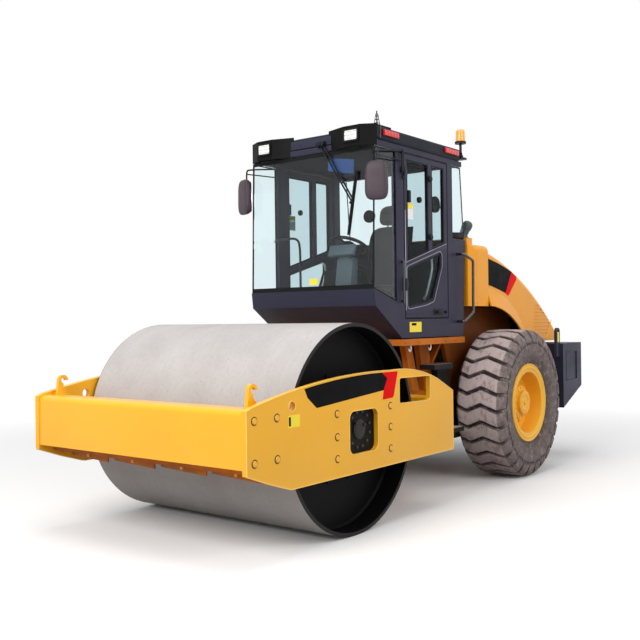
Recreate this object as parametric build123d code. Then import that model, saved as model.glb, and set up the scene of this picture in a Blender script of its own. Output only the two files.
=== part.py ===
from build123d import *
from math import atan2, cos, degrees, hypot, pi, sin
import os

# Single-drum road roller, articulated, with an enclosed cab and two rear tyres.
# Millimetres. +X points forward, +Y to the machine's left, +Z up. The origin is
# on the ground, in the middle of the machine's length and width.

os.makedirs("parts", exist_ok=True)

# ---------------------------------------------------------------- driving sizes
nose_reach = 1285           # drum axis to the front of the frame
wheelbase = 3000            # drum axis to rear axle
tail_reach = 1685           # rear axle to the back of the counterweight
pivot_behind_drum = 1500    # drum axis to steering pin

drum_diameter = 1600
drum_width = 2130
drum_shell = 28
drum_recess = 180           # the heads lie this far inside the shell's ends
drum_head_t = 25

tyre_diameter = 1500        # over the lugs
tyre_width = 520
wheel_track = 1780          # between the tyres' middles
rim_diameter = 660
rim_flange_diameter = 760

moving_gap = 25             # between the drum's ends and the frame
fit = 0.05                  # radial clearance of a shaft in its bore
seat = 0.3                  # gap between curved or soft pieces and their seats

# ------------------------------------------------------------------ main places
overall_length = nose_reach + wheelbase + tail_reach
drum_x = overall_length / 2 - nose_reach
axle_x = drum_x - wheelbase
pivot_x = drum_x - pivot_behind_drum
tail_x = axle_x - tail_reach
drum_r = drum_diameter / 2
tyre_r = tyre_diameter / 2
drum_z = drum_r
axle_z = tyre_r
tyre_front = axle_x + tyre_r

nodes = {}


# ---------------------------------------------------------------------- helpers
def block(x0, x1, y0, y1, z0, z1):
    """A box from its low to its high corner."""
    middle = Pos((x0 + x1) / 2, (y0 + y1) / 2, (z0 + z1) / 2)
    return middle * Box(abs(x1 - x0), abs(y1 - y0), abs(z1 - z0))


def outline(points):
    """A closed face from a list of points."""
    return make_face(Polyline(*points, close=True))


def slab(face, y0, y1):
    """A face drawn in x and z, made solid from y0 to y1."""
    return Pos(0, y1, 0) * extrude(Plane.XZ * face, amount=y1 - y0)


def prism(points, y0, y1):
    """An outline of (x, z) points, made solid from y0 to y1."""
    return slab(outline(points), y0, y1)


def board(points, z0, z1):
    """An outline of (x, y) points, made solid from z0 to z1."""
    return Pos(0, 0, z0) * extrude(outline(points), amount=z1 - z0)


def rod_y(x, z, r, y0, y1):
    """A cylinder along Y."""
    return Pos(x, (y0 + y1) / 2, z) * Rot(90, 0, 0) * Cylinder(r, abs(y1 - y0))


def rod_x(y, z, r, x0, x1):
    """A cylinder along X."""
    return Pos((x0 + x1) / 2, y, z) * Rot(0, 90, 0) * Cylinder(r, abs(x1 - x0))


def rod_z(x, y, r, z0, z1):
    """A cylinder along Z."""
    return Pos(x, y, (z0 + z1) / 2) * Cylinder(r, abs(z1 - z0))


def turned_y(profile, x, z):
    """A profile of (radius, y) points turned about a line along Y."""
    return Pos(x, 0, z) * revolve(outline(profile), axis=Axis.Y)


def tube(points, bend, r):
    """A round tube along straight runs joined by bends."""
    path = FilletPolyline(*points, radius=bend)
    section = Plane(path @ 0, z_dir=path % 0) * Circle(r)
    return sweep(section, path=path)


def along(x, x0, z0, x1, z1):
    """Height at x on the line from (x0, z0) to (x1, z1)."""
    return z0 + (z1 - z0) * (x - x0) / (x1 - x0)


def other_side(solid):
    """The same piece on the machine's right."""
    return mirror(solid, about=Plane.XZ)


def both(solid):
    return [solid, other_side(solid)]


def save(name, *solids):
    """Keeps a node: one solid, or several that don't touch."""
    flat = []
    for solid in solids:
        flat.extend(solid if isinstance(solid, list) else [solid])
    nodes[name] = flat


# ------------------------------------------------------------- the smooth drum
drum_end = drum_width / 2
head_y = drum_end - drum_recess              # outer face of the head
exciter_r = 210
drive_disc_r = 330
drive_disc_t = 25
buffer_length = 60
disc_y = head_y + buffer_length              # inner face of the drive disc
stub_r = 90                                  # bearing stub, fixed to the frame

shell = rod_y(drum_x, drum_z, drum_r, -drum_end, drum_end)
shell -= rod_y(drum_x, drum_z, drum_r - drum_shell, -drum_end - 1, drum_end + 1)
for side in (-1, 1):
    shell += rod_y(drum_x, drum_z, drum_r - drum_shell, side * (head_y - drum_head_t), side * head_y)
shell += rod_y(drum_x, drum_z, exciter_r, -(head_y - drum_head_t), head_y - drum_head_t)
save("drum", shell)

buffer_count = 8
buffer_r = 62
buffer_ring = 245
buffers = []
for side in (-1, 1):
    for n in range(buffer_count):
        turn = 2 * pi * (n + 0.5) / buffer_count
        x = drum_x + buffer_ring * cos(turn)
        z = drum_z + buffer_ring * sin(turn)
        buffers.append(rod_y(x, z, buffer_r, side * head_y, side * disc_y))
save("drum_buffers", buffers)

discs = []
for side in (-1, 1):
    disc = rod_y(drum_x, drum_z, drive_disc_r, side * disc_y, side * (disc_y + drive_disc_t))
    disc -= rod_y(drum_x, drum_z, stub_r + fit, side * (disc_y - 1), side * (disc_y + drive_disc_t + 1))
    discs.append(disc)
save("drum_drive_discs", discs)

# ------------------------------------------------------------- the drum frame
plate_y = drum_end + moving_gap              # inner face of a side plate
plate_t = 40
plate_out = plate_y + plate_t
plate_low = 485
beam_low = 668
beam_top = 1056
nose_x = drum_x + nose_reach
tail_of_plate = 1365                         # drum axis to the side plate's rear end

# Side plate: (x from the drum axis, height), from the nose under to the tail.
plate_nose = [(nose_reach - 43, beam_top + 11), (nose_reach, beam_top - 6), (nose_reach, beam_low - 34),
              (nose_reach - 226, 551), (nose_reach - 435, plate_low)]
plate_tail = [(-tail_of_plate, plate_low), (-tail_of_plate, 996), (255 - tail_of_plate, 1112)]
# The long arched top: three more points on it.
arch_rear, arch_crown, arch_front = (-800, 1197), (-400, 1222), (395, 1200)


def plate_point(point):
    return (drum_x + point[0], point[1])


def plate_face():
    """Side plate seen from the side."""
    nose = [plate_point(p) for p in plate_nose]
    tail = [plate_point(p) for p in plate_tail]
    crown = plate_point(arch_crown)
    rear_arc = ThreePointArc(tail[-1], plate_point(arch_rear), crown)
    front_arc = ThreePointArc(crown, plate_point(arch_front), nose[0])
    return make_face(Curve() + [Polyline(*nose, *tail), rear_arc, front_arc])


hub_window = (373, 324, 60)                  # length, height, corner radius
hub_window_shift = -14
rear_window = (475, 205, 25)
rear_window_x = drum_x - 744
rear_window_z = 1049
rear_window_tilt = 0.8
lashing_hole_x = drum_x + 829
lashing_hole_z = 1044
lashing_hole_r = 36

plate = plate_face()
plate -= Pos(drum_x + hub_window_shift, drum_z + hub_window_shift) * RectangleRounded(*hub_window)
plate -= Pos(rear_window_x, rear_window_z) * Rot(0, 0, rear_window_tilt) * RectangleRounded(*rear_window)
plate -= Pos(lashing_hole_x, lashing_hole_z) * Circle(lashing_hole_r)
save("drum_frame_side_plates", both(slab(plate, plate_y, plate_out)))

# Front beam, with a lashing hook welded on near each end, curled to the rear.
beam_back = nose_x - 170
beam_front = nose_x - 10
beam = block(beam_back, beam_front, -plate_y, plate_y, beam_low, beam_top)
front_top = beam.edges().filter_by(Axis.Y).sort_by(lambda e: e.center().X + e.center().Z)[-1]
beam = fillet(front_top, 45)
hook_y = 1020
hook_t = 30
hook_ring = 44
hook_bar = 22
hook_height = 112            # beam top to the middle of the curl
hook_x = beam_front - 165
stem = outline([(hook_x + hook_ring, beam_top + hook_height), (hook_x + hook_ring + 12, beam_top),
                (hook_x - hook_ring - 20, beam_top), (hook_x - 6, beam_top + 55),
                (hook_x + hook_ring - hook_bar, beam_top + hook_height)])
curl = Pos(hook_x, beam_top + hook_height) * (Circle(hook_ring) - Circle(hook_ring - hook_bar))
mouth = Pos(hook_x - hook_ring / 2, beam_top + hook_height - hook_ring / 2) * Rectangle(hook_ring, hook_ring)
for side in (-1, 1):
    beam += slab(stem + (curl - mouth), side * hook_y - hook_t / 2, side * hook_y + hook_t / 2)
save("drum_frame_front_beam", beam)

# Rear cross beam with the bearing of the oscillation shaft.
osc_z = 750
shaft_r = 70
rear_beam_back = pivot_x + 140
rear_beam_front = rear_beam_back + 260
rear_beam_low = 500
rear_beam_top = 940
rear_beam = block(rear_beam_back, rear_beam_front, -plate_y, plate_y, rear_beam_low, rear_beam_top)
rear_beam -= rod_x(0, osc_z, shaft_r + fit, rear_beam_back - 1, rear_beam_front + 1)
save("drum_frame_rear_beam", rear_beam)

# Bearing housings, bolted behind the hub windows.
housing_r = 150
carrier_t = 20
carrier = (540, 445)                         # length and height of the carrier plate
housing_end = disc_y + drive_disc_t + 10
housings = []
for side in (-1, 1):
    bridge = block(drum_x - carrier[0] / 2, drum_x + carrier[0] / 2,
                   side * (plate_y - carrier_t), side * plate_y,
                   drum_z - carrier[1] / 2, drum_z + carrier[1] / 2)
    house = rod_y(drum_x, drum_z, housing_r, side * housing_end, side * (plate_y - carrier_t))
    stub = rod_y(drum_x, drum_z, stub_r, side * (disc_y + 5), side * housing_end)
    housings.append(bridge + house + stub)
save("drum_bearing_housings", housings)

# Scrapers: a bar with slanted overlapping blades under the front beam, and a
# plain one behind the drum, open round the centre joint.
blade_gap = 12
blade_count = 4
blade_skew = 5               # degrees in plan
blade_t = 14
scraper_z = 600
collar_room = 160
arm_back = beam_back - 75
reach = (drum_r + blade_gap) ** 2
blade_inset = (reach - (drum_z - scraper_z) ** 2) ** 0.5
blade_span = drum_width / blade_count
blade_length = blade_span + 60
blade_depth = 280
skew_room = blade_length / 2 * sin(blade_skew * pi / 180)
blades = []
for n in range(blade_count):
    place = Pos(drum_x + blade_inset + skew_room, (n + 0.5) * blade_span - drum_end, scraper_z)
    blades.append(place * Rot(0, 0, blade_skew)
                  * block(0, blade_depth, -blade_length / 2, blade_length / 2, 0, blade_t))
row = blades[0].fuse(*blades[1:])
row &= block(drum_x, beam_front, 5 - drum_end, drum_end - 5, scraper_z - 1, scraper_z + blade_t + 1)
front_bar = block(arm_back, beam_back + 40, -plate_y, plate_y, scraper_z + blade_t, beam_low)
rear_blade_x = drum_x - blade_inset
rear_bar = block(rear_beam_front, rear_beam_front + 60, -plate_y, plate_y, scraper_z + blade_t, scraper_z + 90)
rear_bar -= block(rear_beam_front - 1, rear_beam_front + 61, -collar_room, collar_room, 0, rear_beam_top)
rear_blade = block(rear_beam_front + 40, rear_blade_x, -drum_end + 15, drum_end - 15, scraper_z,
                   scraper_z + blade_t)
save("drum_scrapers", front_bar + row, rear_bar + rear_blade)

# ------------------------------------------------------------ the centre joint
pin_r = 45
knuckle_r = 95
knuckle_half = 105           # half its height
ear_gap = 6
ear_t = 40
arm_x = 20                   # cylinder eyes, from the steering pin
arm_y = 260
arm_t = 30
eye_r = 44
eye_half = 24
eye_gap = 6
arm_lows = (osc_z - eye_half - eye_gap - arm_t, osc_z + eye_half + eye_gap)
collar_t = 24

knuckle = rod_z(pivot_x, 0, knuckle_r, osc_z - knuckle_half, osc_z + knuckle_half)
knuckle += rod_x(0, osc_z, shaft_r, pivot_x, rear_beam_front + ear_gap + collar_t)
for low in arm_lows:
    knuckle += block(pivot_x - 40, pivot_x + 75, -arm_y, arm_y, low, low + arm_t)
    for side in (-1, 1):
        knuckle += rod_z(pivot_x + arm_x, side * arm_y, 55, low, low + arm_t)
knuckle -= rod_z(pivot_x, 0, pin_r + fit, osc_z - knuckle_half - 1, osc_z + knuckle_half + 1)
knuckle += rod_x(0, osc_z, shaft_r + 30, rear_beam_front + ear_gap, rear_beam_front + ear_gap + collar_t)
save("centre_knuckle", knuckle)

# Steering cylinders: barrels on the rear frame, rods to the knuckle's arms.
base_back = 620              # steering pin to the barrels' pins
base_y = 350
base_pin_r = 20
barrel_r = 48
steer_rod_r = 25
barrel_share = 0.60          # of the length between the eyes
cylinder_length = hypot(arm_x + base_back, arm_y - base_y)
barrel_end = barrel_share * cylinder_length
base_x = pivot_x - base_back


def cylinder_place(side):
    """A cylinder is drawn along X from its base pin and turned in place."""
    turn = degrees(atan2(side * (arm_y - base_y), arm_x + base_back))
    return Pos(base_x, side * base_y, osc_z) * Rot(0, 0, turn)


for side, word in ((1, "left"), (-1, "right")):
    barrel = rod_x(0, 0, barrel_r, eye_r + 31, barrel_end)
    barrel += Cylinder(eye_r, 2 * eye_half)
    barrel += block(0, eye_r + 36, -eye_half, eye_half, -eye_half, eye_half)
    barrel -= Cylinder(base_pin_r + fit, 4 * eye_half)
    barrel -= rod_x(0, 0, steer_rod_r + fit, eye_r + 21, barrel_end + 1)
    rod = rod_x(0, 0, steer_rod_r, barrel_end - 172, cylinder_length - base_pin_r)
    rod += Pos(cylinder_length, 0, 0) * Cylinder(eye_r, 2 * eye_half)
    rod -= Pos(cylinder_length, 0, 0) * Cylinder(base_pin_r, 4 * eye_half)
    save(f"steering_barrel_{word}", cylinder_place(side) * barrel)
    save(f"steering_rod_{word}", cylinder_place(side) * rod)

# ------------------------------------------------------------- the rear frame
rail_y = 440                 # inner face of a frame rail
rail_t = 40
rail_out = rail_y + rail_t
rail_low = 560
rail_step = 930              # top of the rails below the cab
deck_low = 1385
wall_t = 30
wall_top = 1735              # top of the walls between the wheels
wall_x = pivot_x - 760
saddle_z = 890               # underside of the rails over the axle
weight_length = 540
weight_x = tail_x + weight_length
ear_root = pivot_x - 220

# Frame rail: (x, height), from the ears back, up to the engine bay and round.
rail = [
    (ear_root, rail_low), (ear_root, rail_step), (tyre_front - 260, rail_step), (tyre_front - 190, 1165),
    (tyre_front - 90, deck_low), (axle_x + 555, deck_low), (axle_x + 555, wall_top),
    (axle_x - 800, wall_top), (axle_x - 900, deck_low), (weight_x, deck_low), (weight_x, 700),
    (axle_x - 450, 700), (axle_x - 320, saddle_z), (axle_x + 300, saddle_z), (axle_x + 440, rail_low),
]
frame = prism(rail, rail_y, rail_out) + prism(rail, -rail_out, -rail_y)
frame += block(wall_x - wall_t, wall_x, -rail_y, rail_y, rail_low, rail_step)
frame += block(weight_x, weight_x + wall_t, -rail_y, rail_y, 700, deck_low)
for low in (osc_z - knuckle_half - ear_gap - ear_t, osc_z + knuckle_half + ear_gap):
    ear = [
        (pivot_x, -pin_r - 70), (pivot_x, pin_r + 70), (ear_root, rail_y), (wall_x, rail_y),
        (wall_x, -rail_y), (ear_root, -rail_y),
    ]
    frame += board(ear, low, low + ear_t) + rod_z(pivot_x, 0, pin_r + 70, low, low + ear_t)
frame -= rod_z(pivot_x, 0, pin_r, rail_low, rail_step)
for side in (-1, 1):
    for low in arm_lows:
        frame += block(wall_x, base_x + 40, side * (base_y - 55), side * rail_y, low, low + arm_t)
    frame -= rod_z(base_x, side * base_y, base_pin_r, arm_lows[0] - 1, arm_lows[1] + arm_t + 1)
save("rear_frame", frame)

pin_head = 15
pin_half = knuckle_half + ear_gap + ear_t + pin_head
pins = [rod_z(pivot_x, 0, pin_r, osc_z - pin_half, osc_z + pin_half)]
for side in (-1, 1):
    pins.append(rod_z(base_x, side * base_y, base_pin_r,
                      arm_lows[0] - pin_head, arm_lows[1] + arm_t + pin_head))
save("frame_pins", pins)

# Platform under the cab, on posts that rise from the rails.
deck_t = 55
deck_top = deck_low + deck_t
deck_half = 740
deck_front = drum_x - 1170
deck_back = axle_x + 680
post_t = 60
deck = block(deck_back, deck_front, -deck_half, deck_half, deck_low, deck_top)
deck += block(axle_x + 600, deck_back, -rail_out, rail_out, deck_low, deck_top)
# Posts: (front and rear x at the top, front and rear x at the foot, foot height), x from the steering pin.
posts = [(-90, -210, -225, -345, rail_step), (-344, -525, -450, -600, rail_step), (-755, -790, -540, -580, 1150)]
for top_front, top_back, foot_front, foot_back, foot in posts:
    post = [(pivot_x + top_front, deck_low), (pivot_x + top_back, deck_low), (pivot_x + foot_back, foot),
            (pivot_x + foot_front, foot)]
    deck += prism(post, rail_y, rail_y + post_t) + prism(post, -rail_y - post_t, -rail_y)
save("cab_platform", deck)

# Boarding steps beside the platform: a hanger with a tread above and one below. The hanger runs on behind the
# tyre's front as a splash guard.
step_gap = 15                # hanger to the tyre's inner side
tyre_in = wheel_track / 2 - tyre_width / 2
hanger_t = 15
hanger_y = tyre_in - step_gap - hanger_t
hanger_back = tyre_front + 15
hanger_front = hanger_back + 245
upper_tread = (hanger_front - 50, hanger_front + 295, 1145, 1190)      # x, x, z, z
lower_tread = (tyre_front + 60, tyre_front + 280, 530, 570)
upper_out = 760
lower_out = 790
step = block(hanger_back, hanger_front, hanger_y, hanger_y + hanger_t, lower_tread[2], upper_tread[3])
for (x0, x1, z0, z1), out in ((upper_tread, upper_out), (lower_tread, lower_out)):
    step += block(x0, x1, hanger_y, out, z0, z1)
step += block(hanger_back - 235, hanger_back, hanger_y, hanger_y + hanger_t, lower_tread[2] - 100, 830)
step += block(hanger_back + 60, hanger_back + 120, rail_out, hanger_y, rail_step - 80, rail_step - 20)
save("boarding_steps", both(step))

# Rear axle.
axle_tube_r = 105
spindle_r = 70
final_drive_r = 205
saddle_half = 130
hub_depth = 120              # rim disc to the hub's outer step
wheel_y = wheel_track / 2
axle_end = wheel_y + 10
axle_tube_end = tyre_in - 70
axle = rod_y(axle_x, axle_z, axle_tube_r, -axle_tube_end, axle_tube_end)
axle += Pos(axle_x, 0, axle_z) * Sphere(final_drive_r)
axle += rod_y(axle_x, axle_z, spindle_r, -axle_end, axle_end)
for side in (-1, 1):
    axle += block(axle_x - saddle_half, axle_x + saddle_half, side * (rail_y - 30), side * (rail_out + 30),
                  axle_z, saddle_z)
save("rear_axle", axle)

# ------------------------------------------------------------------ the wheels
rim_r = rim_diameter / 2
flange_r = rim_flange_diameter / 2
flange_t = 12
bead_half = 200              # wheel's middle to the rim's flanges
disc_out = wheel_y + 30
disc_t = 25
hub_face = wheel_y + hub_depth
hub_r = 170
cap_r = 120
cap_t = 45

tyre_sides = 28              # flat facets round the tyre
lug_count = 28
lug_half = 60                # half a lug's length along the tread
lug_foot = 645               # radius where a lug's ends run out on the sidewall
half_width = tyre_width / 2
# Casing: (radius, distance from the tyre's middle) from the sidewall to the tread.
casing = [(tyre_r - 190, half_width - 4), (tyre_r - 100, half_width - 8), (tyre_r - 52, half_width - 36),
          (tyre_r - 38, half_width - 72)]
bead_r = rim_r + 75
# Lug seen from outside: (distance from the tyre's middle, shift along the tread).
lug_wave = [(-half_width, 30), (-0.5 * half_width, -26), (0.1 * half_width, 22), (half_width, -36)]
lug_edge = half_width - 30
lug_reach = lug_half - along(lug_edge, *lug_wave[2], *lug_wave[3])
lug_r = (tyre_r ** 2 - lug_reach ** 2) ** 0.5       # to a lug's flat face; its corners stand at tyre_r
tyre_turn = degrees(atan2(lug_reach, lug_r))        # turns one of those corners to the ground


def ring_face(radius, y):
    """A many-sided outline square to the axle that a circle of this radius fits round."""
    return Plane(origin=(0, y, 0), x_dir=(1, 0, 0), z_dir=(0, 1, 0)) * RegularPolygon(radius, tyre_sides)


def cone(r0, y0, r1, y1):
    """A faceted cone between two outlines."""
    return loft([ring_face(r0, y0), ring_face(r1, y1)], ruled=True)


def tyre_lug():
    """One lug, at the top of the wheel: a wavy bar that laps over both shoulders."""
    fore = [(shift + lug_half, y) for y, shift in lug_wave]
    aft = [(shift - lug_half, y) for y, shift in reversed(lug_wave)]
    bar = Pos(0, 0, lug_foot) * extrude(outline(fore + aft), amount=lug_r - lug_foot)
    shoulder = tyre_r - 62
    section = [(-half_width, lug_foot), (-half_width, shoulder), (-lug_edge, lug_r), (lug_edge, lug_r),
               (half_width, shoulder), (half_width, lug_foot)]
    across = Pos(-2 * lug_half, 0, 0) * extrude(Plane.YZ * outline(section), amount=4 * lug_half)
    return bar & across


def tyre_body():
    """Casing and lugs about the origin."""
    body = cone(casing[-1][0], -casing[-1][1], casing[-1][0], casing[-1][1])
    for (r0, y0), (r1, y1) in zip(casing, casing[1:]):
        body += cone(r0, y0, r1, y1)
        body += cone(r1, -y1, r0, -y0)
    for side in (-1, 1):
        body -= cone(bead_r, side * (bead_half - 15), casing[0][0], side * (casing[0][1] + 1))
        body -= cone(bead_r, side * (bead_half - 16), bead_r, side * half_width)
    hole = (rim_r + seat) / cos(pi / tyre_sides)
    body -= cone(hole, -half_width, hole, half_width)
    lug = tyre_lug()
    lugs = [Rot(0, 360 * n / lug_count, 0) * lug for n in range(lug_count)]
    return Rot(0, tyre_turn, 0) * body.fuse(*lugs)


# Rim section: (radius, y from the wheel's middle), a deep steel rim.
rim_section = [
    (rim_r, 15 - bead_half), (flange_r, -bead_half), (flange_r, -bead_half - flange_t),
    (rim_r - 18, -bead_half - 4), (rim_r - 18, bead_half + 4), (flange_r, bead_half + flange_t),
    (flange_r, bead_half), (rim_r, bead_half - 15),
]
tyre_shape = tyre_body()
for side, word in ((1, "left"), (-1, "right")):
    tyre = Pos(axle_x, wheel_y, axle_z) * tyre_shape
    rim = turned_y([(r, wheel_y + y) for r, y in rim_section], axle_x, axle_z)
    rim += rod_y(axle_x, axle_z, rim_r - 15, disc_out - disc_t, disc_out)
    rim -= rod_y(axle_x, axle_z, spindle_r + fit, disc_out - 40, disc_out + 10)
    hub = rod_y(axle_x, axle_z, hub_r, disc_out, hub_face)
    hub += rod_y(axle_x, axle_z, cap_r, hub_face, hub_face + cap_t)
    hub -= rod_y(axle_x, axle_z, spindle_r + fit, disc_out - 1, axle_end + 6)
    if side < 0:
        tyre, rim, hub = other_side(tyre), other_side(rim), other_side(hub)
    save(f"tyre_{word}", tyre)
    save(f"rim_{word}", rim)
    save(f"wheel_hub_{word}", hub)

# -------------------------------------------------------------- the counterweight
weight_half = 1000
weight_top = 1320
weight_low = 590
weight_low_rear = 815
panel_depth = 8              # recessed panel in each side
lug_t = 30
lug_eye_r = 25
weight = prism([(tail_x, weight_low_rear), (tail_x, weight_top), (weight_x, weight_top),
                (weight_x, weight_low)], -weight_half, weight_half)
for side in (-1, 1):
    weight -= block(tail_x + 145, weight_x - 95, side * (weight_half - panel_depth), side * (weight_half + 1),
                    weight_top - 420, weight_top - 100)
    lifting_lug = block(weight_x, weight_x + 95, side * (weight_half - 65), side * (weight_half - 65 + lug_t),
                        weight_top - 150, weight_top + 130)
    lifting_lug += rod_y(weight_x + 47.5, weight_top + 130, 47.5, side * (weight_half - 65),
                         side * (weight_half - 65 + lug_t))
    lifting_lug -= rod_y(weight_x + 47.5, weight_top + 130, lug_eye_r, side * (weight_half - 66),
                         side * (weight_half - 64 + lug_t))
    weight += lifting_lug
tail_lamp = (130, 60, 20)    # width, height, depth of its pocket
tail_lamp_y = 820
tail_lamp_z = weight_top - 110
tail_lamps = []
for side in (-1, 1):
    pocket = Pos(tail_x + tail_lamp[2] / 2, side * tail_lamp_y, tail_lamp_z)
    weight -= pocket * Box(tail_lamp[2], tail_lamp[0], tail_lamp[1])
    tail_lamps.append(pocket * Box(tail_lamp[2], tail_lamp[0], tail_lamp[1]))
save("counterweight", weight)

# ------------------------------------------------------------------- the cab
cab_half = 705
wall = 40
cab_low = deck_top + 10
cab_front = drum_x - 800
cab_rear = axle_x + 650
cab_top = 3170
roof_top = 3285
belt_z = 2400
cab_back_at_belt = cab_rear - 68
nose_z = 1740                # lowest point of the nose's front
nose_x_low = cab_front - 17
nose_top = 1885              # lower edge of the windscreen
nose_foot = cab_front - 430  # where the nose's underside meets the floor
door_front = cab_front - 485
door_rear = cab_rear + 285
door_low = 1628
door_top = 3115
door_gap = 6
frame_gap = 5                # door frame to the cab's opening, front and rear
sill_z = 1733                # lower edge of the glass beside the door's front
a_front = door_front + 130
b_rear = door_rear - 100
pillar_t = 50
rail_inset = 60              # top rails, from the cab's ends


def nose_edge(x):
    """Upper edge of the nose's side panel."""
    return along(x, door_front + frame_gap, sill_z, cab_front, nose_top)


def belt_edge(x):
    """Upper edge of the rear side panel."""
    return along(x, door_rear - frame_gap, belt_z - 12, cab_back_at_belt, belt_z)


mount_r = 60
mount_y = 560
mounts = [rod_z(x, side * mount_y, mount_r, deck_top, cab_low)
          for x in (nose_foot - 70, cab_rear + 150) for side in (-1, 1)]
save("cab_mounts", mounts)

# Lower cab: (x, height) of a side panel below the door and round the nose.
sill = [
    (nose_x_low, nose_z), (cab_front, nose_top), (door_front + frame_gap, sill_z),
    (door_front + frame_gap, door_low - door_gap), (door_rear - frame_gap, door_low - door_gap),
    (door_rear - frame_gap, belt_edge(door_rear - frame_gap)), (cab_back_at_belt, belt_z),
    (cab_rear, cab_low), (nose_foot, cab_low),
]
nose_inside = (nose_x_low - wall - 8, nose_z + 5)
nose_front = [(nose_x_low, nose_z), (cab_front, nose_top), (cab_front - wall, nose_top), nose_inside]
nose_under = [(nose_x_low, nose_z), (nose_foot, cab_low), (nose_foot - 30, cab_low + wall), nose_inside]
back_panel = [(cab_rear, cab_low), (cab_back_at_belt, belt_z), (cab_back_at_belt + wall, belt_z),
              (cab_rear + wall, cab_low)]
tub = prism(sill, cab_half - wall, cab_half) + prism(sill, -cab_half, wall - cab_half)
tub += block(cab_rear, nose_foot, wall - cab_half, cab_half - wall, cab_low, cab_low + wall)
for panel in (nose_front, nose_under, back_panel):
    tub += prism(panel, wall - cab_half, cab_half - wall)
save("cab_tub", tub)

# Pillars and top rails, with the fixed halves of the door hinges.
pillar_in = cab_half - pillar_t
hinge_x = door_front + 3
hinge_y = cab_half + 16
hinge_r = 14
hinge_pin_r = 6
hinge_length = 60
hinge_ear = 25
hinge_lows = (1900, 2900)
front_edge = door_front + frame_gap
rear_edge = door_rear - frame_gap
cage = prism([(front_edge, nose_edge(front_edge)), (a_front, nose_edge(a_front)),
              (a_front, cab_top), (front_edge, cab_top)], pillar_in, cab_half)
cage += prism([(rear_edge, belt_edge(rear_edge)), (b_rear, belt_edge(b_rear)),
               (b_rear, cab_top), (rear_edge, cab_top)], pillar_in, cab_half)
cage += block(cab_back_at_belt + rail_inset, cab_front - rail_inset, pillar_in, cab_half,
              door_top + door_gap, cab_top)
for low in hinge_lows:
    for z in (low - hinge_ear, low + hinge_length):
        cage += block(front_edge, door_front + 30, cab_half, hinge_y, z, z + hinge_ear)
        cage += rod_z(hinge_x, hinge_y, hinge_r, z, z + hinge_ear)
    cage += rod_z(hinge_x, hinge_y, hinge_pin_r, low, low + hinge_length)
cage += other_side(cage)
for x in (cab_front - rail_inset - pillar_t, cab_back_at_belt + rail_inset):
    cage += block(x, x + pillar_t, -cab_half, cab_half, door_top + door_gap, cab_top)
save("cab_pillars", cage)

roof_front = cab_front - 50
roof_back = cab_rear + 35
roof_half = 725
roof = block(roof_back, roof_front, -roof_half, roof_half, cab_top, roof_top)
roof = fillet(roof.edges(), 25)
save("cab_roof", roof)

# Glazing. Each pane is set in from the panel that carries it.
pane = 8
glass_y = cab_half - 12
screen_low = cab_front - 3
screen_high = cab_front - 39
back_low = cab_back_at_belt + 8
back_high = cab_back_at_belt + 75
nose_pane = [(screen_low - 1, nose_edge(screen_low - 1) + seat), (screen_high - 1, door_top),
             (a_front + seat, door_top), (a_front + seat, nose_edge(a_front) + seat)]
tail_pane = [(b_rear - seat, belt_z + seat), (b_rear - seat, door_top), (back_high, door_top),
             (back_low, belt_z + seat)]
side_panes = both(prism(nose_pane, glass_y - pane, glass_y)) + both(prism(tail_pane, glass_y - pane, glass_y))
inner_glass = glass_y - pane - 1
windscreen = prism([(screen_low, nose_top + seat), (screen_high, door_top), (screen_high - pane, door_top),
                    (screen_low - pane, nose_top + seat)], -inner_glass, inner_glass)
rear_pane = prism([(back_low, belt_z + seat), (back_high, door_top), (back_high + pane, door_top),
                   (back_low + pane, belt_z + seat)], -inner_glass, inner_glass)
save("cab_glass", side_panes, windscreen, rear_pane)

# Doors: a frame with an upper and a lower window, hinged at the front.
window_front = door_front - 50
window_top = door_top - 55
leaf_play = 1
upper_window = [(window_front, 2140), (window_front, window_top), (door_rear + 65, window_top),
                (door_rear + 65, 2340)]
lower_window = [(window_front, 2080), (window_front, 1730), (door_front - 355, 1768), (door_rear + 295, 1800),
                (door_rear + 140, 2120), (door_rear + 140, 2245)]
post_front = door_rear + 355
post_back = door_rear + 295
post_foot = 2240             # inside the belt rail between the windows
door_face = outline([(door_front, door_low), (door_front, door_top), (door_rear, door_top),
                     (door_rear, door_low)])
door_face -= outline(upper_window)
door_face -= outline(lower_window)
post_face = outline([(post_front, post_foot), (post_front, window_top), (post_back, window_top),
                     (post_back, post_foot + 16)])
door = slab(door_face, cab_half - wall, cab_half) + slab(post_face, cab_half - wall, cab_half)
for low in hinge_lows:
    leaf_low = low + leaf_play
    leaf_high = low + hinge_length - leaf_play
    leaf = block(door_front - 40, hinge_x, cab_half, hinge_y, leaf_low, leaf_high)
    leaf += rod_z(hinge_x, hinge_y, hinge_r, leaf_low, leaf_high)
    door += leaf - rod_z(hinge_x, hinge_y, hinge_pin_r + fit, low, low + hinge_length)
upper_panes = (prism(upper_window, glass_y - pane, glass_y) - slab(post_face, 0, cab_half)).solids()
lower_pane = prism(lower_window, glass_y - pane, glass_y)
save("door_left_frame", door)
save("door_left_glass", upper_panes, lower_pane)
save("door_right_frame", other_side(door))
save("door_right_glass", [other_side(solid) for solid in upper_panes], other_side(lower_pane))

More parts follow.
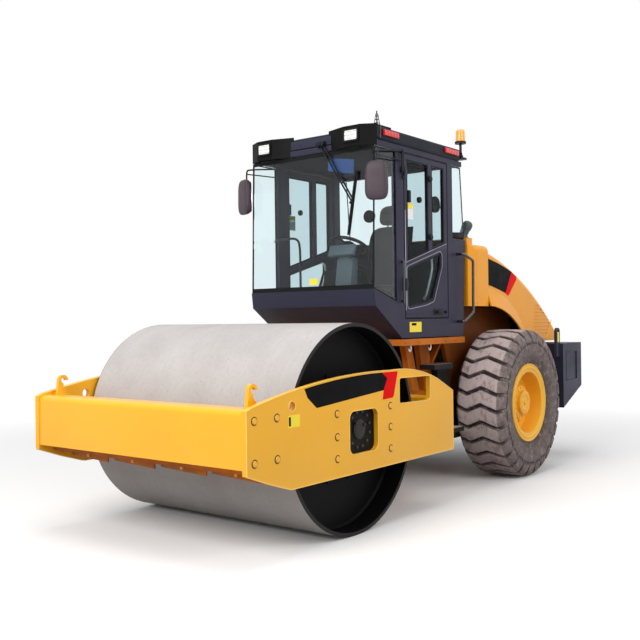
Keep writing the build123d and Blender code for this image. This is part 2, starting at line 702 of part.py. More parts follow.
# Inside the cab: seat on its pedestal, side console, steering column.
floor_z = cab_low + wall
seat_x = cab_rear + 530
cushion_low = floor_z + 330
cushion_top = cushion_low + 120
back_top = floor_z + 1080
pedestal = block(seat_x - 200, seat_x + 220, -230, 230, floor_z, cushion_low)
pedestal += block(seat_x - 150, seat_x + 280, -400, -250, floor_z, floor_z + 620)
cushion = block(seat_x - 230, seat_x + 270, -245, 245, cushion_low + seat, cushion_top)
cushion = fillet(cushion.edges().filter_by(Axis.Z), 60)
cushion = fillet(cushion.faces().sort_by(Axis.Z)[-1].edges(), 35)
backrest = prism([(seat_x - 160, cushion_top + seat), (seat_x - 260, back_top), (seat_x - 370, back_top),
                  (seat_x - 290, cushion_top + seat)], -235, 235)
backrest = fillet(backrest.edges().filter_by(Axis.Y).sort_by(Axis.Z)[-2:], 30)
headrest = prism([(seat_x - 270, back_top + seat), (seat_x - 300, back_top + 210),
                  (seat_x - 390, back_top + 210), (seat_x - 365, back_top + seat)], -130, 130)
headrest = fillet(headrest.edges().filter_by(Axis.Y).sort_by(Axis.Z)[-2:], 30)
save("operator_seat", cushion, backrest, headrest)
hand_wheel_r = 185
column_x = seat_x + 410
column = prism([(column_x + 20, floor_z), (column_x + 140, floor_z), (column_x + 42, floor_z + 825),
                (column_x - 28, floor_z + 805)], -60, 60)
hand_wheel = Pos(column_x, 0, floor_z + 830) * Rot(0, -25, 0)
column += hand_wheel * Torus(hand_wheel_r, 16)
column += hand_wheel * Cylinder(45, 50)
column += hand_wheel * Box(2 * hand_wheel_r, 26, 14)
column += hand_wheel * Box(26, 2 * hand_wheel_r, 14)
save("operator_console", pedestal, column)

# ------------------------------------------------- lamps, mirrors, wiper, rails
# Work lamp pods at the roof's front corners, each with a cap lying on the roof.
pod_front = cab_front + 20
pod_low = 3120
pod_top = roof_top + 18
pod_y = (410, 590)           # the flat front, between the lens's edges
pod = board([(roof_front, 200), (pod_front, pod_y[0]), (pod_front, pod_y[1]), (roof_front, 715)],
            pod_low, pod_top)
pod += block(roof_front - 250, roof_front, 330, 700, roof_top, pod_top)
save("roof_lamp_housings", both(pod))
lens = block(pod_front, pod_front + 12, pod_y[0] + 20, pod_y[1] - 25, 3175, 3262)
save("roof_lamp_lenses", both(lens))

# Red marker lamps along the roof's edge, and the tail lamps.
markers = []
for x0, x1 in ((roof_front - 310, roof_front - 80), (roof_back + 75, roof_back + 325)):
    markers.extend(both(block(x0, x1, roof_half, roof_half + 20, 3212, 3258)))
save("marker_lamps", markers, tail_lamps)

# Beacon on a bracket behind the roof's left corner.
beacon_x = roof_back - 40
beacon_y = 700
bracket_top = 3215
beacon = block(roof_back - 75, roof_back, beacon_y - 40, beacon_y + 40, bracket_top - 20, bracket_top)
beacon += rod_z(beacon_x, beacon_y, 12, bracket_top, 3350)
beacon += rod_z(beacon_x, beacon_y, 56, 3350, 3372)
dome = rod_z(beacon_x, beacon_y, 48, 3372, 3500)
beacon += fillet(dome.edges().sort_by(Axis.Z)[-1], 40)
save("beacon", beacon)

# Mirrors: a clamped tube on the front pillar carries an arm, a strut and the head.
clamp_x = a_front - 85
clamp_y = cab_half + 17
head_x = cab_front + 25
head_y = cab_half + 52
head_z = 2800
arm_end_y = head_y - 12
side_mirror = rod_z(clamp_x, clamp_y, 8, 2930, 3130)
for z in (2945, 3115):
    side_mirror += block(clamp_x - 10, clamp_x + 10, cab_half, clamp_y, z - 12, z + 12)
arm_x_end = head_x - 20
side_mirror += tube([(clamp_x, clamp_y, 3120), (arm_x_end, arm_end_y, 3060), (arm_x_end, arm_end_y, 2940)],
                    40, 8)
strut = Vector(arm_x_end - clamp_x, arm_end_y - clamp_y, -15)
side_mirror += extrude(Plane(origin=(clamp_x, clamp_y, 3035), z_dir=strut) * Circle(6), amount=strut.length)
head = fillet(Box(60, 200, 330).edges(), 25)
side_mirror += Pos(head_x, head_y, head_z) * Rot(0, 0, 21) * head
save("mirrors", both(side_mirror))


# Windscreen wiper: two arms side by side hang from a boss on the roof's front.
def screen_x(z):
    """Outer face of the windscreen at a height."""
    return screen_low + (screen_high - screen_low) * (z - nose_top) / (door_top - nose_top)


def bar(start, end, deep, wide):
    """A straight bar between two points, deep along x."""
    way = Vector(*end) - Vector(*start)
    section = Plane(origin=start, x_dir=(1, 0, 0), z_dir=way) * Rectangle(deep, wide)
    return extrude(section, amount=way.length)


blade_half = 11              # half the wiper blade's depth
blade_top = (525, 2915)      # y, z
blade_foot = (441, 2359)
wiper_boss = (95, 175, 3165, 3215)
arm_foot = (483, 2637)
wiper = block(roof_front, roof_front + 35, *wiper_boss)
blade_ends = [(screen_x(z) + seat + blade_half, y, z) for y, z in (blade_top, blade_foot)]
wiper += bar(*blade_ends, 2 * blade_half, 12)
for shift in (0, 38):
    start = (roof_front + 25, wiper_boss[0] + 20 + shift, 3190)
    wiper += bar(start, (screen_x(arm_foot[1]) + 20, arm_foot[0], arm_foot[1] + shift), 10, 12)
save("windscreen_wiper", wiper)

rail_out_y = cab_half + 100
rail_r = 14
rail_root = cab_rear + 110
grip = tube([(rail_root, cab_half, 2250), (rail_root, cab_half + 80, 2250), (cab_rear - 40, rail_out_y, 2190),
             (cab_rear - 30, rail_out_y, 1680), (rail_root, cab_half + 80, 1590), (rail_root, cab_half, 1590)],
            30, rail_r)
grab_x = a_front - 75
grab_y = cab_half + 25
grab = rod_z(grab_x, grab_y, 9, 1760, 2150)
for z in (1780, 2130):
    grab += block(grab_x - 10, grab_x + 10, cab_half, grab_y, z - 10, z + 10)
save("handrails", both(grip) + both(grab))

# ------------------------------------------------------------------- the hood
hood_half = 735
hood_skin = 15
hood_top_front = 2335
hood_tail = tail_x + 70
hood_tail_top = 1480
hood_low = 1345
hood_crown = 136             # middle of the crest above the line between its ends
shoulder_r = 90
cowl_half = 760
cowl_skin = 20
cowl_front = axle_x + 555
cowl_rear = axle_x + 200
cowl_top = hood_top_front + 30
cap_z = cowl_top + 65
arch_low = 1741
hood_front = cowl_rear - 8
lid_hinge_x = hood_front - 8
lid_hinge_z = hood_top_front + 12
lid_hinge_r = 13
lid_pin_r = 7
lid_hinge_length = 90
lid_hinge_y = 450

# Cowl: the fixed box between cab and hood, bevelled at its front corners.
shell_plan = [(cowl_rear, cowl_half), (cowl_front - 70, cowl_half), (cowl_front, cowl_half - 45),
              (cowl_front, 45 - cowl_half), (cowl_front - 70, -cowl_half), (cowl_rear, -cowl_half)]
bay_plan = [(cowl_rear, cowl_half - cowl_skin), (cowl_front - 78, cowl_half - cowl_skin),
            (cowl_front - cowl_skin, cowl_half - 57), (cowl_front - cowl_skin, 57 - cowl_half),
            (cowl_front - 78, cowl_skin - cowl_half), (cowl_rear, cowl_skin - cowl_half)]
cowl = board(shell_plan, arch_low, cowl_top)
cowl = fillet(cowl.edges().filter_by(Axis.X).group_by(Axis.Z)[-1], shoulder_r - 20)
bay = board(bay_plan, arch_low - 1, cowl_top - cowl_skin)
bay = fillet(bay.edges().filter_by(Axis.X).group_by(Axis.Z)[-1], shoulder_r - 40)
cowl -= bay
cowl += block(cowl_front - 125, cowl_front - 15, 60 - cowl_half, cowl_half - 60, cowl_top - cowl_skin, cap_z)
cowl += block(cowl_front - cowl_skin, cowl_front, -rail_y, rail_y, deck_low, arch_low)
cowl += block(cowl_rear, cowl_rear + 12, shoulder_r - cowl_half, cowl_half - shoulder_r,
              hood_top_front - 20, cowl_top - cowl_skin)
for side in (-1, 1):
    low = side * lid_hinge_y - lid_hinge_length / 2
    high = low + lid_hinge_length
    for y0, y1 in ((low - 25, low), (high, high + 25)):
        cowl += block(lid_hinge_x, cowl_rear, y0, y1, lid_hinge_z - 6, lid_hinge_z + lid_hinge_r)
        cowl += rod_y(lid_hinge_x, lid_hinge_z, lid_hinge_r - 3, y0, y1)
    cowl += rod_y(lid_hinge_x, lid_hinge_z, lid_pin_r, low, high)
save("hood_cowl", cowl)

# Exhaust outlet: a short bent pipe on a flange, near the left end of the cowl's cap.
outlet_x = cowl_front - 70
outlet_y = 632
outlet_r = 40
outlet_route = [(outlet_x, outlet_y, cap_z), (outlet_x, outlet_y, cap_z + 75),
                (outlet_x - 10, outlet_y + 72, cap_z + 165)]
outlet = tube(outlet_route, 60, outlet_r)
save("exhaust_outlet", outlet + rod_z(outlet_x, outlet_y, outlet_r + 12, cap_z, cap_z + 10))

# Hood: a shell over the engine, flared over the tyres.
crest_middle = ((hood_front + hood_tail) / 2, (hood_top_front + hood_tail_top) / 2 + hood_crown)
arch_start = (axle_x + 150, arch_low)
arch_middle = (axle_x - 300, arch_low - 119)
arch_end = (axle_x - 695, hood_low)
flare_r = 1219               # where the flare leaves the hood's side
flare_x = axle_x + 218
flare_z = 706
flare_rise = 60              # how far it stands out ...
flare_fall = 185             # ... over this drop of its radius
flare_skin = 14


def hood_solid(inset, fold):
    """The hood's outside, or its inside when shrunk by the skin."""
    top = (hood_front, hood_top_front - inset)
    knee = (hood_tail + inset, hood_tail_top - inset)
    middle = (crest_middle[0] + 0.4 * inset, crest_middle[1] - 0.9 * inset)
    foot = (hood_tail + inset, hood_low)
    side_face = make_face(Curve() + [ThreePointArc(top, middle, knee),
                                     Polyline(knee, foot, (hood_front, hood_low), top)])
    solid = slab(side_face, inset - hood_half, hood_half - inset)
    ridge = [e for e in solid.edges() if e.center().Z > hood_tail_top + 50 and abs(e.center().Y) > 300
             and e.length > 500]
    return fillet(ridge, fold)


def flare_cone(inset):
    """The cone that the flares follow, cut to the hood's rear part."""
    y_out = hood_half + flare_rise
    cone_side = [(0, 0), (flare_r - inset + flare_fall, hood_half - flare_rise - inset),
                 (flare_r - inset - flare_fall, y_out - inset), (0, y_out - inset)]
    solid = turned_y(cone_side, flare_x, flare_z)
    solid += other_side(solid)
    return solid & block(hood_tail, hood_front, -2 * hood_half, 2 * hood_half, hood_low, hood_top_front)


arch_face = make_face(Curve() + [ThreePointArc(arch_start, arch_middle, arch_end),
                                 Polyline(arch_end, (arch_end[0], hood_low - 200),
                                          (hood_front + 100, hood_low - 200),
                                          (hood_front + 100, arch_low), arch_start)])
arch = slab(arch_face, -2 * hood_half, 2 * hood_half)
hood = hood_solid(0, shoulder_r) + flare_cone(0)
hood -= hood_solid(hood_skin, shoulder_r - hood_skin) + flare_cone(flare_skin)
hood -= arch

# Louvres: slots cut through a slanted panel in each side, and through the tail.
louvre_pitch = 40
louvre_gap = 18
louvre_panel = outline([(hood_tail + 640, 1770), (hood_tail + 569, 1772), (hood_tail + 194, 1594),
                        (hood_tail + 213, 1543), (hood_tail + 323, 1402), (hood_tail + 547, 1400),
                        (hood_tail + 679, 1438)])
louvre_low = 1420
grille_half = 480
grille_low = 1530
for n in range(9):
    z = louvre_low + n * louvre_pitch
    slot = louvre_panel & Pos(hood_tail + 400, z + louvre_gap / 2) * Rectangle(800, louvre_gap)
    for side in (-1, 1):
        y0, y1 = sorted((side * (hood_half - hood_skin - 1), side * (hood_half + 1)))
        hood -= slab(slot, y0, y1)
for n in range(5):
    z = grille_low + n * louvre_pitch
    hood -= block(hood_tail - 1, hood_tail + 550, -grille_half, grille_half, z, z + louvre_gap)

# The hood's halves of its hinges.
for side in (-1, 1):
    low = side * lid_hinge_y - lid_hinge_length / 2 + leaf_play
    high = low + lid_hinge_length - 2 * leaf_play
    leaf = rod_y(lid_hinge_x, lid_hinge_z, lid_hinge_r, low, high)
    leaf += block(lid_hinge_x - 30, lid_hinge_x, low, high, lid_hinge_z - 30, lid_hinge_z)
    leaf -= hood_solid(0, shoulder_r) & block(hood_tail, hood_front, low - 1, high + 1, hood_low, cowl_top)
    leaf -= rod_y(lid_hinge_x, lid_hinge_z, lid_pin_r + fit, low - 2, high + 2)
    hood += leaf
save("hood", hood)

engine_half = 330
engine_low = 1000
engine_back = tail_x + 685
engine = block(engine_back, axle_x - 50, -engine_half, engine_half, engine_low, engine_low + 750)
for x in (axle_x - 200, engine_back + 100):
    engine += block(x - 40, x + 40, -rail_y, rail_y, engine_low + 20, engine_low + 80)
save("engine_block", engine)

# ---------------------------------------------------------------------- export
for name, solids in nodes.items():
    shape = solids[0] if len(solids) == 1 else Compound(children=list(solids))
    export_step(shape, f"parts/{name}.step")
print(len(nodes), "nodes")
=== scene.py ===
# %% [markdown]
# # A road roller, dressed piece by piece
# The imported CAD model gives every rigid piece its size, its place and the body it moves with.
# This script loads it as a fixed frame, gives each piece its finish, and adds the small forms
# that carry the look: tread, bolts, seals, lamps, decals, grilles and the cab's inside.

# %% Load the frame
import math

import bmesh
import bpy
from mathutils import Matrix, Vector


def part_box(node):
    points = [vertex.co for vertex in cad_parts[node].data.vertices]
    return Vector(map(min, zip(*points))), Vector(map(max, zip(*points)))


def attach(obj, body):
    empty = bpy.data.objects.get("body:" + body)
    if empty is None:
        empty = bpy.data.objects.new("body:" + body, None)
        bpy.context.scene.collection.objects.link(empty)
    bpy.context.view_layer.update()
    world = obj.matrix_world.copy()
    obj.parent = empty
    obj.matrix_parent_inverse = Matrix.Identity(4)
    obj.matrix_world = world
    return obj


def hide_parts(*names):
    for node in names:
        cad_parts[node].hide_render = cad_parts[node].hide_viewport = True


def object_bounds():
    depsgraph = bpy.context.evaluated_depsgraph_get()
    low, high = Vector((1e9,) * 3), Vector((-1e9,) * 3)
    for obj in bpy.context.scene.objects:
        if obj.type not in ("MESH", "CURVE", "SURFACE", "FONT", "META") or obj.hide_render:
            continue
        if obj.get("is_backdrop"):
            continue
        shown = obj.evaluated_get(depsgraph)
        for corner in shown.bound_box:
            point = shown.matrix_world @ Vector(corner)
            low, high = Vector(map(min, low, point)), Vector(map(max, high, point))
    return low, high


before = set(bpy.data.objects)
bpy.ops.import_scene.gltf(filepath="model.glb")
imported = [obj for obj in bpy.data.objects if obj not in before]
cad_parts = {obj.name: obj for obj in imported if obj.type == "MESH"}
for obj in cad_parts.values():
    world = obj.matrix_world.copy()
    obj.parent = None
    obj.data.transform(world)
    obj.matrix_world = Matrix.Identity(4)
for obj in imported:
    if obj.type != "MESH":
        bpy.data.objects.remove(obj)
cad_bounds = [list(map(float, corner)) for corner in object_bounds()]
SIDES = (("left", 1), ("right", -1))


def extent(node):
    """A node's lowest and highest corners at rest."""
    low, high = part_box(node)
    return Vector(low), Vector(high)


def middle(node):
    """The middle of a node's box at rest."""
    low, high = extent(node)
    return (low + high) / 2


def across(side, a, b):
    """Two distances from the machine's middle as levels along Y, the lower first."""
    return sorted((side * a, side * b))


print("CAD box", cad_bounds)

# %% [markdown]
# ## Camera
# The camera stands ahead of the machine and to its left, at an adult's eye height, with a
# normal lens. Its axes are built from the way it looks, so that the slight roll is one number.

# %% Camera
CAMERA_PLACE = Vector((7.049, 4.888, 1.630))
CAMERA_YAW = math.radians(217.83)
CAMERA_ROLL = math.radians(0.76)
CAMERA_LENS = 49.02
CAMERA_DIP = -0.0009
SENSOR_WIDTH = 36.0


def make_camera():
    """A camera that looks along its yaw, level, with a slight roll."""
    look = Vector((math.cos(CAMERA_YAW), math.sin(CAMERA_YAW), CAMERA_DIP)).normalized()
    right = Vector((math.sin(CAMERA_YAW), -math.cos(CAMERA_YAW), 0.0))
    down = look.cross(right)
    image_right = right * math.cos(CAMERA_ROLL) + down * math.sin(CAMERA_ROLL)
    image_down = -right * math.sin(CAMERA_ROLL) + down * math.cos(CAMERA_ROLL)
    turn = Matrix((image_right, -image_down, -look)).transposed()
    data = bpy.data.cameras.new("camera")
    data.lens = CAMERA_LENS
    data.sensor_width = SENSOR_WIDTH
    camera = bpy.data.objects.new("camera", data)
    camera.matrix_world = Matrix.Translation(CAMERA_PLACE) @ turn.to_4x4()
    bpy.context.scene.collection.objects.link(camera)
    bpy.context.scene.camera = camera
    return camera


camera = make_camera()
print("camera at", tuple(round(v, 2) for v in camera.location))

# %% [markdown]
# ## Light and floor
# An outdoor machine is lit by a bright even sky. One large soft lamp ahead of it, one beside
# it and one above give the faces a clear order of brightness. The floor looks white to the
# camera, to glass and to metal, but bounces as little light back up as trodden ground does,
# so that the underside falls dark as it would in a yard.

# %% Light
scene = bpy.context.scene
scene.view_settings.view_transform = "Standard"


def area_lamp(name, place, aim, size, watts):
    """A soft square lamp that points at aim."""
    data = bpy.data.lights.new(name, "AREA")
    data.size = size
    data.energy = watts
    lamp = bpy.data.objects.new(name, data)
    lamp.location = place
    lamp.rotation_euler = (Vector(aim) - Vector(place)).to_track_quat("-Z", "Y").to_euler()
    scene.collection.objects.link(lamp)
    return lamp


area_lamp("front", (9.0, 0.5, 6.0), (1.0, 0, 1.0), 5.0, 520)
area_lamp("side", (2.0, 9.0, 6.0), (0, 0, 1.2), 5.0, 300)
area_lamp("top", (0.0, 0.0, 10.0), (0, 0, 0), 7.0, 260)

world = bpy.data.worlds.new("sky")
scene.world = world
world.use_nodes = True
world_nodes = world.node_tree.nodes
world_links = world.node_tree.links


def seen_directly(nodes, links):
    """1 for a camera, mirror or glass ray, 0 for light that bounces."""
    path = nodes.new("ShaderNodeLightPath")
    total = nodes.new("ShaderNodeMath")
    total.operation = "ADD"
    links.new(path.outputs["Is Camera Ray"], total.inputs[0])
    links.new(path.outputs["Is Transmission Ray"], total.inputs[1])
    both = nodes.new("ShaderNodeMath")
    both.operation = "ADD"
    both.use_clamp = True
    links.new(total.outputs[0], both.inputs[0])
    links.new(path.outputs["Is Glossy Ray"], both.inputs[1])
    return both.outputs[0]


SKY_LIGHT = 0.55
sky_level = world_nodes.new("ShaderNodeMapRange")
world_links.new(seen_directly(world_nodes, world_links), sky_level.inputs["Value"])
sky_level.inputs["To Min"].default_value = SKY_LIGHT
sky_level.inputs["To Max"].default_value = 1.0
world_links.new(sky_level.outputs["Result"], world_nodes["Background"].inputs["Strength"])
world_nodes["Background"].inputs["Color"].default_value = (1, 1, 1, 1)

FLOOR_REACH = 40
floor_mesh = bpy.data.meshes.new("floor")
floor_corners = [(x * FLOOR_REACH, y * FLOOR_REACH, 0)
                 for x, y in ((-1, -1), (1, -1), (1, 1), (-1, 1))]
floor_mesh.from_pydata(floor_corners, [], [(0, 1, 2, 3)])
floor = bpy.data.objects.new("floor", floor_mesh)
scene.collection.objects.link(floor)
floor_material = bpy.data.materials.new("floor_white")
floor_material.use_nodes = True
floor_nodes = floor_material.node_tree.nodes
floor_links = floor_material.node_tree.links
floor_tone = floor_nodes.new("ShaderNodeMix")
floor_tone.data_type = "RGBA"
floor_links.new(seen_directly(floor_nodes, floor_links), floor_tone.inputs["Factor"])
floor_tone.inputs["A"].default_value = (0.30, 0.29, 0.28, 1)
floor_tone.inputs["B"].default_value = (0.97, 0.97, 0.97, 1)
floor_links.new(floor_tone.outputs["Result"], floor_nodes["Principled BSDF"].inputs["Base Color"])
floor_nodes["Principled BSDF"].inputs["Roughness"].default_value = 1.0
# Far out the floor gives way to plain white, so that no horizon shows.
FADE_START = 4.0
FADE_END = 8.0
floor_place = floor_nodes.new("ShaderNodeVectorMath")
floor_place.operation = "LENGTH"
floor_links.new(floor_nodes.new("ShaderNodeTexCoord").outputs["Object"], floor_place.inputs[0])
fade = floor_nodes.new("ShaderNodeMapRange")
floor_links.new(floor_place.outputs["Value"], fade.inputs["Value"])
fade.inputs["From Min"].default_value = FADE_START
fade.inputs["From Max"].default_value = FADE_END
white = floor_nodes.new("ShaderNodeEmission")
floor_blend = floor_nodes.new("ShaderNodeMixShader")
floor_links.new(fade.outputs["Result"], floor_blend.inputs[0])
floor_links.new(floor_nodes["Principled BSDF"].outputs[0], floor_blend.inputs[1])
floor_links.new(white.outputs[0], floor_blend.inputs[2])
floor_links.new(floor_blend.outputs[0], floor_nodes["Material Output"].inputs["Surface"])
floor_mesh.materials.append(floor_material)
floor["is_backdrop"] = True

# %% [markdown]
# ## Finishes
# Every finish is a Principled shader fed by a few procedural layers: a broad drift of tone,
# a fine bump, and dust where dust would settle. A small kit of functions adds one layer at a
# time, so that each finish below reads as a short recipe.


# %% Finish kit
def tone(r, g, b):
    """A colour written as 0 to 255, for the shader."""
    def linear(v):
        v /= 255
        return v / 12.92 if v <= 0.04045 else ((v + 0.055) / 1.055) ** 2.4
    return (linear(r), linear(g), linear(b), 1.0)


class Finish:
    """A material with helpers that add one procedural layer at a time."""

    def __init__(self, name, colour, roughness, metallic=0.0, **sockets):
        self.material = bpy.data.materials.new(name)
        self.material.use_nodes = True
        self.nodes = self.material.node_tree.nodes
        self.links = self.material.node_tree.links
        self.shader = self.nodes["Principled BSDF"]
        self.shader.inputs["Base Color"].default_value = colour
        self.shader.inputs["Roughness"].default_value = roughness
        self.shader.inputs["Metallic"].default_value = metallic
        for socket, value in sockets.items():
            self.shader.inputs[socket.replace("_", " ")].default_value = value
        self.place = self.nodes.new("ShaderNodeTexCoord").outputs["Object"]
        self.colour = None
        self.start = colour

    def noise(self, scale, detail=4.0, stretch=(1, 1, 1), roughness=0.55):
        """A noise value on the piece's own coordinates."""
        node = self.nodes.new("ShaderNodeTexNoise")
        node.inputs["Scale"].default_value = scale
        node.inputs["Detail"].default_value = detail
        node.inputs["Roughness"].default_value = roughness
        if stretch == (1, 1, 1):
            self.links.new(self.place, node.inputs["Vector"])
        else:
            mapping = self.nodes.new("ShaderNodeMapping")
            mapping.inputs["Scale"].default_value = stretch
            self.links.new(self.place, mapping.inputs["Vector"])
            self.links.new(mapping.outputs["Vector"], node.inputs["Vector"])
        return node.outputs["Fac"]

    def ramp(self, value, low, high, to_low=0.0, to_high=1.0):
        """value moved from low..high to to_low..to_high, and held at the ends."""
        node = self.nodes.new("ShaderNodeMapRange")
        self.links.new(value, node.inputs["Value"])
        for socket, number in zip(("From Min", "From Max", "To Min", "To Max"),
                                  (low, high, to_low, to_high)):
            node.inputs[socket].default_value = number
        return node.outputs["Result"]

    def math(self, operation, a, b=None):
        """One sum of values; a number may stand for either."""
        node = self.nodes.new("ShaderNodeMath")
        node.operation = operation
        for slot, value in zip(node.inputs, (a, b)):
            if isinstance(value, (int, float)):
                slot.default_value = value
            elif value is not None:
                self.links.new(value, slot)
        return node.outputs[0]

    def axis(self, letter):
        """One of the piece's own coordinates."""
        node = self.nodes.new("ShaderNodeSeparateXYZ")
        self.links.new(self.place, node.inputs[0])
        return node.outputs[letter]

    def radius(self, x, z):
        """Distance from a line along Y through (x, z)."""
        dx = self.math("SUBTRACT", self.axis("X"), x)
        dz = self.math("SUBTRACT", self.axis("Z"), z)
        total = self.math("ADD", self.math("MULTIPLY", dx, dx), self.math("MULTIPLY", dz, dz))
        return self.math("SQRT", total)

    def mix(self, factor, colour):
        """Lays a colour over what is there, as far as factor says."""
        node = self.nodes.new("ShaderNodeMix")
        node.data_type = "RGBA"
        self.links.new(factor, node.inputs["Factor"])
        if self.colour is None:
            node.inputs["A"].default_value = self.start
        else:
            self.links.new(self.colour, node.inputs["A"])
        node.inputs["B"].default_value = colour
        self.colour = node.outputs["Result"]
        self.links.new(self.colour, self.shader.inputs["Base Color"])
        return self

    def drift(self, scale, colour, amount):
        """A broad drift of tone towards colour."""
        return self.mix(self.ramp(self.noise(scale), 0.35, 0.7, 0.0, amount), colour)

    def specks(self, scale, colour, share, amount=1.0):
        """Small spots; share is the part of the surface that they take."""
        return self.mix(self.ramp(self.noise(scale, 2.0), 0.5 + share, 0.53 + share, 0.0, amount),
                        colour)

    def dust(self, top, amount, colour=tone(168, 150, 128)):
        """Dust that thickens towards the ground and breaks up in patches."""
        height = self.ramp(self.axis("Z"), top, 0.0, 0.0, 1.0)
        patch = self.ramp(self.noise(3.0, 8.0), 0.35, 0.65, 0.25, 1.0)
        return self.mix(self.math("MULTIPLY", self.math("MULTIPLY", height, patch), amount), colour)

    def vary_roughness(self, scale, low, high):
        """Roughness that wanders between two values."""
        self.links.new(self.ramp(self.noise(scale), 0.3, 0.7, low, high),
                       self.shader.inputs["Roughness"])
        return self

    def bump(self, height, strength, distance=0.002):
        """Raises the surface by a value, in metres times strength."""
        node = self.nodes.new("ShaderNodeBump")
        node.inputs["Strength"].default_value = strength
        node.inputs["Distance"].default_value = distance
        self.links.new(height, node.inputs["Height"])
        self.links.new(node.outputs["Normal"], self.shader.inputs["Normal"])
        return self


# %% [markdown]
# Sprayed enamel has a faint orange-peel skin and a clear gloss. The yellow of the machine
# carries a little drift of tone, and dust towards the ground. The cab's slate grey is the same
# paint with less gloss. The same recipe, with other numbers, makes black paint.

# %% Paints
def enamel(name, colour, roughness, dust_amount, dust_top=1.3, coat=0.1, gloss=0.3):
    """Sprayed enamel with orange peel, drift and dust."""
    finish = Finish(name, colour, roughness, Specular_IOR_Level=gloss, Coat_Weight=coat,
                    Coat_Roughness=0.12)
    deeper = tuple(v * 0.82 for v in colour[:3]) + (1.0,)
    finish.drift(1.3, deeper, 0.35)
    finish.dust(dust_top, dust_amount)
    finish.vary_roughness(2.5, roughness - 0.06, roughness + 0.1)
    finish.bump(finish.noise(260.0, 1.0), 0.06, 0.001)
    return finish.material


YELLOW = tone(247, 180, 22)
SLATE = tone(44, 43, 62)
yellow_paint = enamel("yellow_enamel", YELLOW, 0.36, 0.10, 1.3, 0.25)
hood_paint = enamel("hood_enamel", tone(242, 160, 22), 0.38, 0.06)
rim_paint = enamel("rim_enamel", tone(255, 192, 52), 0.42, 0.08, 1.6)
slate_paint = enamel("slate_enamel", SLATE, 0.45, 0.06, 1.0, 0.04, 0.2)
black_paint = enamel("black_enamel", tone(18, 17, 20), 0.45, 0.12, 1.2, 0.05, 0.2)
beam_paint = enamel("beam_enamel", tone(249, 182, 12), 0.34, 0.08, 1.3, 0.4, 0.3)
rail_paint = enamel("rail_enamel", tone(26, 24, 28), 0.25, 0.0, 1.0, 0.9, 0.5)
# Pale yellow for the beads along the side plates' edges: a painted highlight.
highlight_edge_paint = enamel("highlight_edge_enamel", tone(255, 208, 96), 0.35, 0.0, 1.0, 0.6, 0.5)
roof_paint = enamel("roof_enamel", tone(30, 30, 42), 0.5, 0.03, 1.0, 0.0, 0.15)
# Near-black: the roof lamp housings' own black, and painted shade on the bearing housings seen
# through the hub windows.
black_and_shade_paint = enamel("black_and_shade_enamel", tone(8, 8, 9), 0.55, 0.05, 1.0, 0.0, 0.1)


def shaded_frame_enamel():
    """The frame's yellow with painted shade: deep orange-brown, darker in patches, brown in the
    arches.
    """
    # The base and its broad drift are the yellow darkened to the orange-brown of the shade under
    # the deck: painted shade.
    finish = Finish("shaded_frame_enamel", tone(206, 116, 30), 0.5, Specular_IOR_Level=0.15)
    finish.drift(1.6, tone(150, 80, 28), 0.8)
    finish.mix(finish.ramp(finish.noise(7.0, 6.0), 0.5, 0.75, 0.0, 0.5), tone(120, 70, 36))
    # Painted shade: towards the rear, inside the wheel arches, the paint turns nearly brown.
    finish.mix(finish.ramp(finish.axis("X"), -0.55, -0.80, 0.0, 0.85), tone(84, 42, 16))
    finish.bump(finish.noise(180.0, 3.0), 0.1, 0.001)
    return finish.material


shaded_frame_paint = shaded_frame_enamel()
print("paints:", [m.name for m in (yellow_paint, hood_paint, rim_paint, slate_paint, black_paint)])

# %% [markdown]
# The drum is plain rolled steel: pale and dry outside, with fine specks and faint marks round
# it, and black paint inside. One material does both, because it knows how far each point lies
# from the drum's axis.

# %% Drum steel
DRUM_LOW, DRUM_HIGH = extent("drum")
DRUM = middle("drum")
DRUM_R = (DRUM_HIGH.z - DRUM_LOW.z) / 2


def drum_steel():
    """Dusty steel outside and black paint inside."""
    finish = Finish("drum_steel", tone(188, 184, 182), 0.6, 0.0, Specular_IOR_Level=0.12)
    finish.drift(2.2, tone(172, 166, 164), 0.8)
    finish.mix(finish.ramp(finish.noise(30.0, 6.0), 0.5, 0.8, 0.0, 0.35), tone(160, 152, 146))
    finish.specks(55.0, tone(120, 100, 92), 0.2, 0.55)
    rub = finish.noise(5.0, 5.0, (1, 40, 1))
    finish.mix(finish.ramp(rub, 0.55, 0.8, 0.0, 0.25), tone(232, 228, 224))
    inside = finish.ramp(finish.radius(DRUM.x, DRUM.z), DRUM_R - 0.022, DRUM_R - 0.014, 1.0, 0.0)
    finish.mix(inside, tone(5, 5, 6))
    rim = finish.ramp(finish.math("ABSOLUTE", finish.axis("Y")), DRUM_HIGH.y - 0.004,
                      DRUM_HIGH.y - 0.002)
    finish.mix(rim, tone(44, 42, 44))
    finish.bump(finish.noise(90.0, 6.0), 0.15, 0.0015)
    return finish.material


drum_material = drum_steel()
print("drum radius", round(DRUM_R, 3))

# %% [markdown]
# The other metals and plastics need only a base, a grain and some wear. The tyres' rubber is black
# under brown dust. How thick the dust lies is written on each tyre's own points, so that the lugs'
# faces are pale and the sidewall is mottled. The same value paints shade in the grooves: it falls
# to nothing down the lugs' walls and on the casing between them, so bare black rubber stands there
# as painted shade.

# %% Metals, plastics and rubber
def simple(name, colour, roughness, metallic=0.0, grain=60.0, relief=0.1, patch=None, **sockets):
    """A base with a fine grain, and a second colour in patches."""
    finish = Finish(name, colour, roughness, metallic, **sockets)
    if patch:
        finish.drift(6.0, patch, 0.6)
    finish.vary_roughness(8.0, max(roughness - 0.08, 0.02), min(roughness + 0.1, 1.0))
    finish.bump(finish.noise(grain, 3.0), relief, 0.001)
    return finish.material


